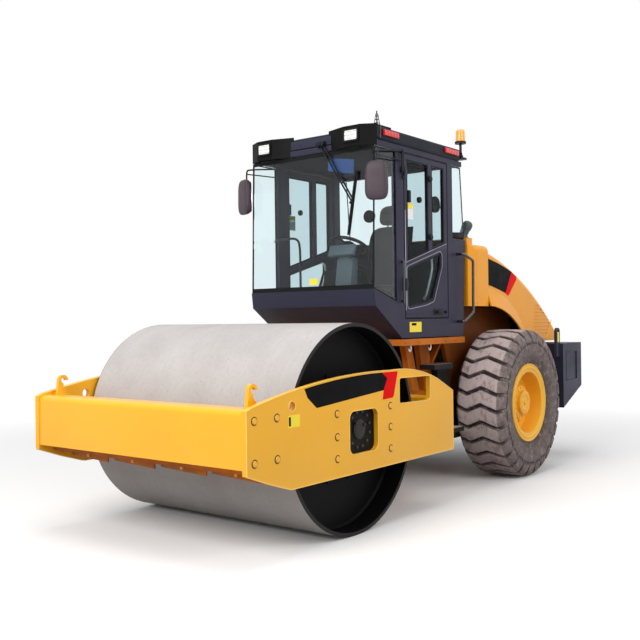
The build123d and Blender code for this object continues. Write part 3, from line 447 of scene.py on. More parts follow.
dark_steel = simple("dark_steel", tone(52, 50, 52), 0.55, 0.4, 40.0, 0.3, tone(84, 74, 66))
bright_steel = simple("bright_steel", tone(176, 174, 170), 0.32, 0.9, 120.0, 0.05,
                      tone(140, 132, 124))
chrome = simple("chrome_rod", tone(214, 214, 216), 0.12, 1.0, 200.0, 0.02)
exhaust_steel = simple("exhaust_steel", tone(74, 84, 88), 0.5, 0.5, 40.0, 0.2, tone(52, 54, 56))
cast_iron = simple("cast_iron", tone(96, 98, 100), 0.7, 0.3, 50.0, 0.4, tone(70, 66, 62))
black_plastic = simple("black_plastic", tone(17, 16, 19), 0.5, 0.0, 700.0, 0.2,
                       Specular_IOR_Level=0.2)
mirror_plastic = simple("mirror_plastic", tone(66, 54, 62), 0.42, 0.0, 500.0, 0.1,
                        Specular_IOR_Level=0.25)
rubber = simple("black_rubber", tone(28, 27, 28), 0.75, 0.0, 80.0, 0.1)
seal_rubber = simple("seal_rubber", tone(10, 10, 12), 0.5, 0.0, 80.0, 0.05, Specular_IOR_Level=0.15)
liner = simple("cab_liner", tone(30, 31, 38), 0.9, 0.0, 300.0, 0.05, Specular_IOR_Level=0.1)
mirror_glass = simple("mirror_glass", tone(225, 228, 230), 0.03, 1.0, 20.0, 0.0)
sticker_yellow = simple("sticker_yellow", tone(250, 224, 46), 0.4, 0.0, 30.0, 0.02,
                        tone(244, 210, 40))
sticker_white = simple("sticker_white", tone(236, 236, 232), 0.4, 0.0, 30.0, 0.02)
decal_black = simple("decal_black", tone(6, 6, 8), 0.5, 0.0, 30.0, 0.02, Specular_IOR_Level=0.05)
decal_red = simple("decal_red", tone(232, 6, 12), 0.45, 0.0, 30.0, 0.02, Specular_IOR_Level=0.05)
# Pale grey for strips along the door's edges: a painted highlight.
door_edge_highlight = simple("door_edge_highlight", tone(168, 164, 182), 0.4, 0.3, 60.0, 0.05)
white_hook = simple("zinc_hook", tone(225, 222, 215), 0.4, 0.5, 60.0, 0.1)


def lamp_finish(name, colour, glow=0.0, alpha=1.0):
    """A moulded lens with fine vertical ribs."""
    finish = Finish(name, colour, 0.15, Coat_Weight=0.6, Alpha=alpha)
    wave = finish.nodes.new("ShaderNodeTexWave")
    wave.bands_direction = "DIAGONAL"
    wave.inputs["Scale"].default_value = 40.0
    finish.links.new(finish.place, wave.inputs["Vector"])
    finish.bump(wave.outputs["Fac"], 0.3, 0.002)
    if glow:
        finish.shader.inputs["Emission Color"].default_value = colour
        finish.shader.inputs["Emission Strength"].default_value = glow
    return finish.material


clear_lens = lamp_finish("clear_lens", tone(238, 238, 236), 0.15)
red_lens = lamp_finish("red_lens", tone(205, 26, 30), 0.15)
amber_lens = lamp_finish("amber_lens", tone(244, 150, 40), 0.25)


def tyre_rubber():
    """Black rubber under brown dust, set by each part's dust value, which also paints the grooves'
    shade.
    """
    finish = Finish("tyre_rubber", tone(34, 29, 30), 0.85)
    attribute = finish.nodes.new("ShaderNodeAttribute")
    attribute.attribute_name = "dust"
    dust = attribute.outputs["Fac"]
    grain = finish.noise(26.0, 8.0, (1, 2, 1), 0.7)
    mottle = finish.ramp(grain, 0.36, 0.64, 0.55, 1.0)
    finish.mix(finish.math("MULTIPLY", finish.ramp(dust, 0.0, 0.45), mottle), tone(134, 119, 115))
    broad = finish.ramp(finish.noise(5.0, 8.0), 0.3, 0.7, 0.8, 1.0)
    finish.mix(finish.math("MULTIPLY", finish.ramp(dust, 0.5, 1.0), broad), tone(190, 173, 172))
    rubbed = finish.ramp(finish.noise(9.0, 6.0, (1, 3, 1)), 0.55, 0.72, 0.0, 0.5)
    finish.mix(finish.math("MULTIPLY", rubbed, dust), tone(112, 95, 92))
    finish.mix(finish.ramp(finish.noise(16.0, 9.0, (1, 1, 1), 0.75), 0.52, 0.66, 0.0, 0.55),
               tone(176, 162, 160))
    finish.mix(finish.ramp(finish.noise(11.0, 9.0, (1, 1.4, 1), 0.75), 0.50, 0.62, 0.0, 0.5),
               tone(66, 58, 60))
    finish.bump(finish.noise(45.0, 8.0), 0.35, 0.003)
    return finish.material


tyre_material = tyre_rubber()


def window_glass(name, tint, index):
    """Tinted safety glass: light passes and takes a cool cast."""
    return Finish(name, tint, 0.0, Transmission_Weight=1.0, IOR=index).material


glass = window_glass("window_glass", tone(240, 249, 251), 1.3)
# The door panes take a darker tint than the other glass: a painted reflection of a dark facade and
# painted shade of the cab inside.
shaded_door_glass = window_glass("shaded_door_glass", tone(200, 219, 223), 1.12)


def seat_cloth():
    """Woven cloth: crossed threads with a soft sheen."""
    finish = Finish("seat_cloth", tone(17, 19, 27), 0.9, Sheen_Weight=0.15, Specular_IOR_Level=0.1)
    finish.drift(9.0, tone(26, 29, 39), 0.6)
    threads = []
    for direction in ("X", "Z"):
        wave = finish.nodes.new("ShaderNodeTexWave")
        wave.bands_direction = direction
        wave.inputs["Scale"].default_value = 160.0
        wave.inputs["Distortion"].default_value = 0.6
        finish.links.new(finish.place, wave.inputs["Vector"])
        threads.append(wave.outputs["Fac"])
    finish.bump(finish.math("MAXIMUM", threads[0], threads[1]), 0.15, 0.001)
    return finish.material


cloth = seat_cloth()
print("finishes:", len(bpy.data.materials))

# %% [markdown]
# Each CAD node keeps its shape and takes its finish from one table. The tyres, mirrors, seat,
# beacon and exhaust outlet are in it too, though modelled pieces stand for them further down.

# %% Dress the CAD nodes
NODE_FINISH = {
    drum_material: ["drum"],
    rubber: ["drum_buffers", "cab_mounts"],
    dark_steel: ["drum_drive_discs", "centre_knuckle", "steering_barrel_left",
                 "steering_barrel_right"],
    yellow_paint: ["drum_frame_side_plates", "drum_frame_rear_beam"],
    beam_paint: ["drum_frame_front_beam"],
    # The frame, platform and scrapers take the frame's paint, which carries painted shade.
    shaded_frame_paint: ["rear_frame", "cab_platform", "drum_scrapers"],
    # Near-black: own black on the lamp housings, painted shade on the bearing housings behind the
    # hub windows.
    black_and_shade_paint: ["drum_bearing_housings", "roof_lamp_housings"],
    hood_paint: ["hood", "hood_cowl"],
    rim_paint: ["rim_left", "rim_right", "wheel_hub_left", "wheel_hub_right"],
    slate_paint: ["cab_tub", "cab_pillars", "door_left_frame", "door_right_frame", "counterweight"],
    roof_paint: ["cab_roof"],
    black_paint: ["boarding_steps", "rear_axle", "windscreen_wiper"],
    rail_paint: ["handrails"],
    bright_steel: ["frame_pins"],
    chrome: ["steering_rod_left", "steering_rod_right"],
    glass: ["cab_glass"],
    shaded_door_glass: ["door_left_glass", "door_right_glass"],
    black_plastic: ["operator_console"],
    exhaust_steel: ["exhaust_outlet"],
    mirror_plastic: ["mirrors"],
    clear_lens: ["roof_lamp_lenses"],
    red_lens: ["marker_lamps"],
    amber_lens: ["beacon"],
    cast_iron: ["engine_block"],
    tyre_material: ["tyre_left", "tyre_right"],
    cloth: ["operator_seat"],
}
for material, names in NODE_FINISH.items():
    for name in names:
        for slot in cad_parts[name].material_slots:
            slot.material = material
dressed = {name for names in NODE_FINISH.values() for name in names}
print("nodes dressed:", len(dressed), "missed:", sorted(set(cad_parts) - dressed))

# %% [markdown]
# ## Small forms
# Most of the added pieces are plates, bars, tubes and turned parts. A form gathers such solids
# into one mesh, each with its edges eased when it is made, and then becomes a piece that rides
# on a body. Working in one mesh keeps the pieces few, and easing each solid by itself keeps
# the highlights along its edges, which is what makes metal read as metal.


# %% Form kit
def smooth_by_angle(mesh, degrees=38):
    """Shades faces smooth and keeps creases sharper than the angle."""
    mesh.shade_smooth()
    sharp = math.radians(degrees)
    tool = bmesh.new()
    tool.from_mesh(mesh)
    for edge in tool.edges:
        edge.smooth = len(edge.link_faces) != 2 or edge.calc_face_angle(0.0) < sharp
    tool.to_mesh(mesh)
    tool.free()


def dress(thing, body, slot, *replaced):
    """Gives a finished object its body and hides the nodes it stands for; slot is not used."""
    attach(thing, body)
    if replaced:
        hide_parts(*replaced)
    return thing


# The six faces of a slab given as four corners and then the four across from them.
SLAB = [(0, 1, 2, 3), (7, 6, 5, 4), (0, 4, 5, 1), (1, 5, 6, 2), (2, 6, 7, 3), (3, 7, 4, 0)]


class Form:
    """Loose solids gathered into one mesh."""

    def __init__(self):
        self.tool = bmesh.new()

    def absorb(self, tool):
        """Takes another mesh's faces in, and frees it."""
        loose = bpy.data.meshes.new("loose")
        tool.to_mesh(loose)
        tool.free()
        self.tool.from_mesh(loose)
        bpy.data.meshes.remove(loose)
        return self

    def solid(self, points, faces, ease=0.0, turn=None):
        """One closed solid; ease rounds its creases, turn places it."""
        tool = bmesh.new()
        corners = [tool.verts.new(turn @ Vector(p) if turn else p) for p in points]
        for face in faces:
            tool.faces.new([corners[i] for i in face])
        bmesh.ops.recalc_face_normals(tool, faces=tool.faces)
        if ease:
            creases = [e for e in tool.edges if e.is_manifold and e.calc_face_angle() > 0.5]
            bmesh.ops.bevel(tool, geom=creases, offset=ease, segments=2, profile=0.6,
                            affect="EDGES", clamp_overlap=True)
        return self.absorb(tool)

    def box(self, low, high, ease=0.003, turn=None):
        """A block between two corners."""
        points = [(x, y, z) for x in (low[0], high[0]) for y in (low[1], high[1])
                  for z in (low[2], high[2])]
        faces = [(0, 1, 3, 2), (4, 6, 7, 5), (0, 4, 5, 1), (2, 3, 7, 6), (0, 2, 6, 4), (1, 5, 7, 3)]
        return self.solid(points, faces, ease, turn)

    def between(self, x, y, z, ease=0.003):
        """A block from a pair of levels along each axis."""
        return self.box((x[0], y[0], z[0]), (x[1], y[1], z[1]), ease)

    def plate(self, outline, start, end, ease=0.002, axis="Y", turn=None):
        """An outline of (x, z), (y, z) or (x, y) points pushed from start to end along axis."""
        order = {"X": lambda a, b, t: (t, a, b),
                 "Y": lambda a, b, t: (a, t, b),
                 "Z": lambda a, b, t: (a, b, t)}[axis]
        count = len(outline)
        points = [order(a, b, t) for t in (start, end) for a, b in outline]
        faces = [tuple(range(count)), tuple(range(2 * count - 1, count - 1, -1))]
        faces += [(i, (i + 1) % count, count + (i + 1) % count, count + i) for i in range(count)]
        return self.solid(points, faces, ease, turn)

    def tube(self, path, radius, sides=12):
        """A round bar along a list of points, closed at both ends."""
        path = [Vector(p) for p in path]
        rings = []
        side = None
        for i, point in enumerate(path):
            ahead = (path[min(i + 1, len(path) - 1)] - path[max(i - 1, 0)]).normalized()
            if side is None:
                side = ahead.orthogonal().normalized()
            side = (side - ahead * side.dot(ahead)).normalized()
            other = ahead.cross(side)
            size = radius[i] if isinstance(radius, (list, tuple)) else radius
            rings.append([point + size * (side * math.cos(a) + other * math.sin(a))
                          for a in (2 * math.pi * k / sides for k in range(sides))])
        points = [p for ring in rings for p in ring]
        faces = []
        for i in range(len(rings) - 1):
            for k in range(sides):
                n = (k + 1) % sides
                faces.append((i * sides + k, i * sides + n, (i + 1) * sides + n,
                              (i + 1) * sides + k))
        last = (len(rings) - 1) * sides
        faces += [tuple(range(sides - 1, -1, -1)), tuple(range(last, last + sides))]
        return self.solid(points, faces)

    def turned(self, profile, centre, axis=(0, 1, 0), sides=48, closed=False):
        """Turns (distance along axis, radius) points into a part; closed joins last to first."""
        ahead = Vector(axis).normalized()
        side = ahead.orthogonal().normalized()
        other = ahead.cross(side)
        centre = Vector(centre)
        points = []
        for along, radius in profile:
            for k in range(sides):
                a = 2 * math.pi * k / sides
                spoke = side * math.cos(a) + other * math.sin(a)
                points.append(centre + ahead * along + max(radius, 1e-5) * spoke)
        faces = []
        count = len(profile)
        for i in range(count if closed else count - 1):
            j = (i + 1) % count
            for k in range(sides):
                n = (k + 1) % sides
                faces.append((i * sides + k, i * sides + n, j * sides + n, j * sides + k))
        if not closed:
            faces += [tuple(range(sides)),
                      tuple(range(count * sides - 1, (count - 1) * sides - 1, -1))]
        return self.solid(points, faces)

    def knob(self, place, axis, foot, radius, shoulder, top, face, sides):
        """A short disc whose rim slopes in from its shoulder to a smaller face at its top."""
        return self.turned([(foot, radius), (shoulder, radius), (top, face), (top, 0.0)], place,
                           axis, sides)

    def mesh(self, name):
        """The gathered solids as one mesh, which ends the form."""
        mesh = bpy.data.meshes.new(name)
        self.tool.to_mesh(mesh)
        self.tool.free()
        return mesh

    def piece(self, name, body, material, slot, *replaced, crease=38):
        """The gathered solids as one piece of the machine."""
        mesh = self.mesh(name)
        mesh.materials.append(material)
        smooth_by_angle(mesh, crease)
        thing = bpy.data.objects.new(name, mesh)
        scene.collection.objects.link(thing)
        return dress(thing, body, slot, *replaced)


def arc(centre, radius, start, end, steps=12):
    """Points of a circle from one angle in degrees to another."""
    return [(centre[0] + radius * math.cos(math.radians(start + (end - start) * i / steps)),
             centre[1] + radius * math.sin(math.radians(start + (end - start) * i / steps)))
            for i in range(steps + 1)]


def rectangle(x0, z0, x1, z1):
    """A rectangle between two opposite corners, as an outline."""
    return [(x0, z0), (x1, z0), (x1, z1), (x0, z1)]


def circle(count, radius, first=0):
    """The points of a bolt circle; first is the angle of the first one in degrees."""
    angles = [math.radians(first + 360 / count * n) for n in range(count)]
    return [(radius * math.cos(a), radius * math.sin(a)) for a in angles]


def rounded(outline, radius, steps=5):
    """An outline with its corners rounded; radius may be one number or one for each corner."""
    result = []
    count = len(outline)
    for i, corner in enumerate(outline):
        r = radius[i] if isinstance(radius, (list, tuple)) else radius
        here = Vector(corner)
        before, after = Vector(outline[i - 1]), Vector(outline[(i + 1) % count])
        to_before, to_after = (before - here).normalized(), (after - here).normalized()
        half = to_before.angle(to_after) / 2
        reach = min(r / math.tan(half), (before - here).length * 0.48, (after - here).length * 0.48)
        if reach < 1e-5:
            result.append(tuple(here))
            continue
        start, end = here + to_before * reach, here + to_after * reach
        for k in range(steps + 1):
            t = k / steps
            result.append(tuple(start * (1 - t) ** 2 + here * 2 * t * (1 - t) + end * t ** 2))
    return result


def smooth_path(points, steps=6):
    """A rounded line through all the points."""
    points = [Vector(p) for p in points]
    path = []
    for i in range(len(points) - 1):
        a, b, c, d = points[max(i - 1, 0)], points[i], points[i + 1], points[min(i + 2,
                len(points) - 1)]
        for k in range(steps):
            t = k / steps
            path.append(0.5 * (2 * b + (c - a) * t + (2 * a - 5 * b + 4 * c - d) * t * t
                               + (3 * b - a - 3 * c + d) * t ** 3))
    path.append(points[-1])
    return path


print("form kit ready")

# %% [markdown]
# ## Rules that repeat a shape
# Tread lugs stand in a ring, slats in a row, and bolts wherever a joint needs them. Each is one
# small Geometry Nodes tree: it takes a shape, places copies by a rule, and turns the copies
# into a plain mesh at the end. Changing a count or a step then changes the whole set at once.


# %% Node trees
class Tree:
    """A Geometry Nodes tree with named inputs."""

    def __init__(self, name, **inputs):
        self.group = bpy.data.node_groups.new(name, "GeometryNodeTree")
        face = self.group.interface
        face.new_socket("Geometry", in_out="INPUT", socket_type="NodeSocketGeometry")
        kinds = {int: "NodeSocketInt", float: "NodeSocketFloat", tuple: "NodeSocketVector"}
        for label, value in inputs.items():
            socket = face.new_socket(label, in_out="INPUT", socket_type=kinds[type(value)])
            socket.default_value = value
        face.new_socket("Material", in_out="INPUT", socket_type="NodeSocketMaterial")
        face.new_socket("Geometry", in_out="OUTPUT", socket_type="NodeSocketGeometry")
        self.start = self.add("NodeGroupInput")
        self.end = self.add("NodeGroupOutput")

    def add(self, kind, **settings):
        """A node; settings are its own properties."""
        node = self.group.nodes.new(kind)
        for label, value in settings.items():
            setattr(node, label, value)
        return node

    def join(self, source, target):
        """A link between two sockets."""
        self.group.links.new(source, target)

    def sum(self, operation, a, b, vector=False):
        """One Math or Vector Math node."""
        node = self.add("ShaderNodeVectorMath" if vector else "ShaderNodeMath", operation=operation)
        for slot, value in zip(node.inputs, (a, b)):
            if hasattr(value, "is_linked"):
                self.join(value, slot)
            else:
                slot.default_value = value
        return node.outputs[0]

    def close(self, instances):
        """Ends the tree: real geometry with its material."""
        real = self.add("GeometryNodeRealizeInstances")
        paint = self.add("GeometryNodeSetMaterial")
        self.join(instances, real.inputs["Geometry"])
        self.join(real.outputs["Geometry"], paint.inputs["Geometry"])
        self.join(self.start.outputs["Material"], paint.inputs["Material"])
        self.join(paint.outputs["Geometry"], self.end.inputs["Geometry"])
        return self.group


def ring_tree():
    """Copies of a shape round an axis along Y through Centre."""
    tree = Tree("ring_of_copies", Count=28, Phase=0.0, Centre=(0.0, 0.0, 0.0))
    points = tree.add("GeometryNodePoints")
    tree.join(tree.start.outputs["Count"], points.inputs["Count"])
    tree.join(tree.start.outputs["Centre"], points.inputs["Position"])
    share = tree.sum("DIVIDE", tree.add("GeometryNodeInputIndex").outputs[0],
                     tree.start.outputs["Count"])
    angle = tree.sum("ADD", tree.sum("MULTIPLY", share, 2 * math.pi), tree.start.outputs["Phase"])
    turn = tree.add("ShaderNodeCombineXYZ")
    tree.join(angle, turn.inputs["Y"])
    copies = tree.add("GeometryNodeInstanceOnPoints")
    tree.join(points.outputs[0], copies.inputs["Points"])
    tree.join(tree.start.outputs["Geometry"], copies.inputs["Instance"])
    tree.join(turn.outputs[0], copies.inputs["Rotation"])
    return tree.close(copies.outputs[0])


def row_tree():
    """Copies of a shape, each one Step from the last."""
    tree = Tree("row_of_copies", Count=5, Step=(0.0, 0.0, 0.1))
    points = tree.add("GeometryNodePoints")
    tree.join(tree.start.outputs["Count"], points.inputs["Count"])
    place = tree.add("ShaderNodeVectorMath", operation="SCALE")
    tree.join(tree.start.outputs["Step"], place.inputs[0])
    tree.join(tree.add("GeometryNodeInputIndex").outputs[0], place.inputs["Scale"])
    tree.join(place.outputs[0], points.inputs["Position"])
    copies = tree.add("GeometryNodeInstanceOnPoints")
    tree.join(points.outputs[0], copies.inputs["Points"])
    tree.join(tree.start.outputs["Geometry"], copies.inputs["Instance"])
    return tree.close(copies.outputs[0])


def stud_tree():
    """A bolt head on each face of a seed mesh, standing along the face's normal."""
    tree = Tree("studs_on_faces", Radius=0.02, Height=0.01, Sides=6)
    seeds = tree.add("GeometryNodeMeshToPoints", mode="FACES")
    normal = tree.add("GeometryNodeInputNormal")
    turn = tree.add("FunctionNodeAlignRotationToVector", axis="Z")
    catch = tree.add("GeometryNodeCaptureAttribute", domain="FACE")
    catch.capture_items.new("VECTOR", "Normal")
    tree.join(tree.start.outputs["Geometry"], catch.inputs["Geometry"])
    tree.join(normal.outputs[0], catch.inputs["Normal"])
    tree.join(catch.outputs["Geometry"], seeds.inputs["Mesh"])
    tree.join(catch.outputs["Normal"], turn.inputs["Vector"])
    head = tree.add("GeometryNodeMeshCone", fill_type="NGON")
    tree.join(tree.start.outputs["Sides"], head.inputs["Vertices"])
    tree.join(tree.start.outputs["Radius"], head.inputs["Radius Bottom"])
    tree.join(tree.sum("MULTIPLY", tree.start.outputs["Radius"], 0.86), head.inputs["Radius Top"])
    tree.join(tree.start.outputs["Height"], head.inputs["Depth"])
    copies = tree.add("GeometryNodeInstanceOnPoints")
    tree.join(seeds.outputs[0], copies.inputs["Points"])
    tree.join(head.outputs["Mesh"], copies.inputs["Instance"])
    tree.join(turn.outputs[0], copies.inputs["Rotation"])
    return tree.close(copies.outputs[0])


RING = ring_tree()
ROW = row_tree()
STUDS = stud_tree()


def grow(mesh, group, name, body, material, slot, *replaced, crease=38, **inputs):
    """Runs a tree on a mesh and keeps the result as a plain piece."""
    thing = bpy.data.objects.new(name, mesh)
    scene.collection.objects.link(thing)
    modifier = thing.modifiers.new("rule", "NODES")
    modifier.node_group = group
    inputs["Material"] = material
    for item in group.interface.items_tree:
        if item.in_out == "INPUT" and item.name in inputs:
            modifier[item.identifier] = inputs[item.name]
    held = bpy.context.evaluated_depsgraph_get()
    baked = bpy.data.meshes.new_from_object(thing.evaluated_get(held), depsgraph=held)
    thing.modifiers.clear()
    thing.data = baked
    baked.name = name
    smooth_by_angle(baked, crease)
    return dress(thing, body, slot, *replaced)


def seeds(places, size=0.001):
    """Tiny faces at (place, normal) pairs, for the stud tree."""
    tool = bmesh.new()
    for place, normal in places:
        normal = Vector(normal).normalized()
        side = normal.orthogonal().normalized() * size
        other = normal.cross(side)
        place = Vector(place)
        tool.faces.new([tool.verts.new(place + side * math.cos(a) + other * math.sin(a))
                        for a in (0.0, 2.0944, 4.1888)])
    mesh = bpy.data.meshes.new("seeds")
    tool.to_mesh(mesh)
    tool.free()
    return mesh


def studs(places, name, body, material, slot, radius, height, sides=6):
    """Bolt heads at (place, normal) pairs."""
    return grow(seeds(places), STUDS, name, body, material, slot, Radius=radius, Height=height,
                Sides=sides, crease=25)


print("trees:", [g.name for g in bpy.data.node_groups])

# %% [markdown]
# ## Tyres
# A rear tyre is a smooth casing with heavy lugs moulded on it. The lugs run right across the
# tread in a wave, so that the tyre rolls quietly on hard ground and still bites in loose soil,
# and they drop over the shoulder onto the sidewall. The casing is a turned profile. One lug is
# modelled as a strip of cross-sections that follow the wave, and the ring rule copies it round
# the wheel, which is how the mould of a real tyre is cut.

# %% Tyres
LUG_COUNT = 28
# Height of a lug's face and of its foot, by distance from the tyre's middle.
LUG_FACE = [(0.0, 0.7485), (0.12, 0.7475), (0.200, 0.7440), (0.207, 0.7395), (0.236, 0.710),
            (0.250, 0.682), (0.2575, 0.640)]
LUG_FOOT = [(0.0, 0.700), (0.15, 0.698), (0.21, 0.690), (0.235, 0.665), (0.248, 0.640),
            (0.249, 0.600)]
LUG_WAVE = [(-1.15, -0.042), (-1.0, -0.032), (-0.42, 0.032), (0.14, -0.032), (0.82, 0.034),
            (1.0, 0.016), (1.15, -0.004)]
CASING = [(0.185, 0.345), (0.200, 0.365), (0.206, 0.398), (0.213, 0.412), (0.226, 0.440),
          (0.2395, 0.474), (0.2440, 0.480), (0.2470, 0.487), (0.2460, 0.495), (0.2530, 0.528),
          (0.2570, 0.566), (0.2575, 0.604), (0.2520, 0.648), (0.2320, 0.690), (0.2000, 0.704),
          (0.1400, 0.7110), (0.0700, 0.7135), (0.0, 0.7140)]


def along(table, x):
    """A value read off a table of (x, value) pairs, with straight runs between."""
    for (x0, v0), (x1, v1) in zip(table, table[1:]):
        if x <= x1:
            return v0 + (v1 - v0) * max(0.0, (x - x0) / (x1 - x0))
    return table[-1][1]


def lug_mesh():
    """One lug, at the top of a wheel whose axle is the origin; painted shade darkens its walls."""
    stations = [0.006 * n for n in range(-41, 42)]
    stations = [-0.2575, -0.2530] + [y for y in stations if abs(y) < 0.25] + [0.2530, 0.2575]
    top, root, edge = 0.0625, 0.0755, 0.004
    tool = bmesh.new()
    dust = tool.verts.layers.float.new("dust")
    rings = []
    for y in stations:
        face, foot = along(LUG_FACE, abs(y)), along(LUG_FOOT, abs(y))
        shift = sum(along(LUG_WAVE, (y + d) / 0.26) for d in (-0.010, 0.0, 0.010)) / 3
        worn = 1.0 - 0.55 * max(0.0, min(1.0, (abs(y) - 0.200) / 0.012))
        # Dust value across the lug: on the face it is dust; its fall to 0.45 at the top of each
        # wall and to 0 at the foot is painted shade.
        half = [(-root, foot, 0.0), (-top - 0.001, face - 0.004, 0.45 * worn),
                (-top + edge, face, worn), (-0.03, face, worn), (0.0, face, worn)]
        ring = []
        for offset, radius, grey in half + [(-o, r, g) for o, r, g in reversed(half[:-1])]:
            angle = (shift + offset) / 0.75
            corner = tool.verts.new((radius * math.sin(angle), y, radius * math.cos(angle)))
            corner[dust] = grey
            ring.append(corner)
        rings.append(ring)
    for first, second in zip(rings, rings[1:]):
        for k in range(len(first)):
            n = (k + 1) % len(first)
            tool.faces.new((first[k], first[n], second[n], second[k]))
    tool.faces.new(rings[0])
    tool.faces.new(rings[-1][::-1])
    bmesh.ops.recalc_face_normals(tool, faces=tool.faces)
    mesh = bpy.data.meshes.new("lug")
    tool.to_mesh(mesh)
    tool.free()
    return mesh


def casing(name, body, centre):
    """The smooth casing, turned about the axle and closed between its beads."""
    profile = [(-y, r) for y, r in CASING] + [(y, r) for y, r in reversed(CASING[:-1])]
    thing = Form().turned(profile, centre, sides=112, closed=True).piece(name, body, tyre_material,
            "tyre", crease=60)
    dust = thing.data.attributes.new("dust", "FLOAT", "POINT")
    # Dust on the sidewall; its fall to nothing at the tread's base, between the lugs, is painted
    # shade for the grooves.
    for vertex, grey in zip(thing.data.vertices, dust.data):
        reach = math.hypot(vertex.co.x - centre.x, vertex.co.z - centre.z)
        grey.value = along([(0.345, 0.05), (0.40, 0.12), (0.50, 0.36), (0.66, 0.42), (0.70, 0.05),
                            (0.72, 0.0)], reach)
    return thing


for side, sign in SIDES:
    centre = middle("tyre_" + side)
    casing("casing_" + side, "wheel_" + side, centre)
    lugs = grow(lug_mesh(), RING, "tread_" + side, "wheel_" + side, tyre_material, "tyre",
                "tyre_" + side, Count=LUG_COUNT, Phase=math.radians(6.8), Centre=tuple(centre),
                crease=28)
    if sign < 0:
        for vertex in lugs.data.vertices:
            vertex.co.y = 2 * centre.y - vertex.co.y
        lugs.data.flip_normals()
print("lugs a tyre:", LUG_COUNT)


# %% [markdown]
# The rim has a rolled lip that holds the tyre's bead and a gutter behind it. Its hub is the
# cover of a planetary gear, closed by rings of small bolts, and sits inside a ring of wheel
# nuts. Turned profiles make the rings, and the ring rule places nuts and bolts, because each
# set stands on one circle.

# %% Rims and hubs


def nut_mesh(place, radius, height, facing, washer=0.0):
    """A six-sided nut whose foot is at place, which is measured from the wheel's axle."""
    form = Form()
    ahead = Vector((0, facing, 0))
    if washer:
        form.turned([(0.0, washer), (0.003, washer), (0.004, washer * 0.9)], place, ahead, 20)
    form.turned([(0.0, radius), (height * 0.8, radius), (height, radius * 0.85)], place, ahead, 6)
    return form.mesh("nut")


# Profiles of the rings, as (distance out from the wheel's middle, radius).
LIP = [(0.196, 0.372), (0.196, 0.392), (0.203, 0.3985), (0.213, 0.3985), (0.219, 0.393),
       (0.219, 0.384), (0.2135, 0.377), (0.2135, 0.366), (0.2175, 0.361), (0.2175, 0.352),
       (0.211, 0.346), (0.2075, 0.336), (0.2095, 0.325), (0.206, 0.3165), (0.198, 0.3165)]
DISC_WELD = [(0.030, 0.3175), (0.030, 0.300), (0.036, 0.302), (0.042, 0.310), (0.043, 0.3175)]
HUB_STEP = [(0.030, 0.150), (0.030, 0.205), (0.038, 0.205), (0.044, 0.198), (0.046, 0.172),
            (0.070, 0.1715), (0.074, 0.176), (0.086, 0.176), (0.090, 0.1715), (0.090, 0.15)]
COVER_RING = [(0.119, 0.110), (0.119, 0.163), (0.125, 0.163), (0.127, 0.160), (0.127, 0.110)]
VALVE_STEM = [(0.285, 0.02), (0.285, 0.07), (0.278, 0.10)]

for side, sign in SIDES:
    body = "wheel_" + side
    centre = middle("tyre_" + side)
    hub_low, hub_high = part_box("wheel_hub_" + side)
    edge = abs((hub_high[1] if sign > 0 else hub_low[1]) - centre.y)
    cap = [(edge - 0.002, 0.064), (edge - 0.002, 0.106), (edge + 0.003, 0.106),
           (edge + 0.004, 0.104), (edge + 0.004, 0.066), (edge + 0.003, 0.064)]
    plug = [(edge - 0.002, 0.026), (edge + 0.009, 0.026), (edge + 0.010, 0.022)]
    rings = Form()
    for profile, sides in ((LIP, 96), (DISC_WELD, 96), (HUB_STEP, 96), (COVER_RING, 96), (cap, 64)):
        rings.turned([(sign * y, r) for y, r in profile], centre, sides=sides, closed=True)
    rings.turned([(sign * y, r) for y, r in plug], centre, sides=6)
    rings.piece("rim_rings_" + side, body, rim_paint, "yellow_paint")
    bolt_sets = (("wheel_nuts_", 18, 0.235, 0.030, 0.015, 0.024, 0.021),
                 ("cover_bolts_", 14, 0.145, 0.127, 0.009, 0.010, 0.012),
                 ("cap_bolts_", 10, 0.083, edge + 0.0035, 0.008, 0.006, 0.0))
    for name, count, reach, foot, radius, height, washer in bolt_sets:
        grow(nut_mesh((0, sign * foot, reach), radius, height, sign, washer), RING, name + side,
             body, rim_paint, "yellow_paint", Count=count, Phase=0.1, Centre=tuple(centre))
    valve = Form().tube([centre + Vector((x, sign * y, 0.0)) for x, y in VALVE_STEM],
                        [0.009, 0.007, 0.006], 10)
    valve.piece("valve_" + side, body, bright_steel, "bright_steel")
print("wheel rings and nuts placed")

# %% [markdown]
# ## Drum unit
# The side plates carry the drum through rubber buffers, so bolts pass through them in groups
# round the hub and at the front beam. Each shows as a round head on a dark washer. The stud
# rule places both from one list. The bare decal field follows the arch of the plate's top, so
# its upper edge is worked out from the same two arcs as the plate.

# %% Side plates
PLATE_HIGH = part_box("drum_frame_side_plates")[1]
PLATE_OUT = PLATE_HIGH[1]
PLATE_IN = PLATE_OUT - 0.040
PLATE_BOLTS = [(1.211, 0.982), (1.211, 0.708), (0.987, 0.982), (0.987, 0.708), (0.323, 0.946),
               (0.323, 0.779), (0.323, 0.621), (-0.375, 0.946), (-0.375, 0.782), (-0.375, 0.613)]


def arch_through(first, second, last):
    """Height of the arc through three (x, z) points, as a function of x."""
    (ax, az), (bx, bz), (cx, cz) = first, second, last
    a2, b2, c2 = (x * x + z * z for x, z in (first, second, last))
    d = 2 * (ax * (bz - cz) + bx * (cz - az) + cx * (az - bz))
    ux = (a2 * (bz - cz) + b2 * (cz - az) + c2 * (az - bz)) / d
    uz = (a2 * (cx - bx) + b2 * (ax - cx) + c2 * (bx - ax)) / d
    radius = math.hypot(ax - ux, az - uz)
    return lambda x: uz + math.sqrt(max(radius ** 2 - (x - ux) ** 2, 0.0))


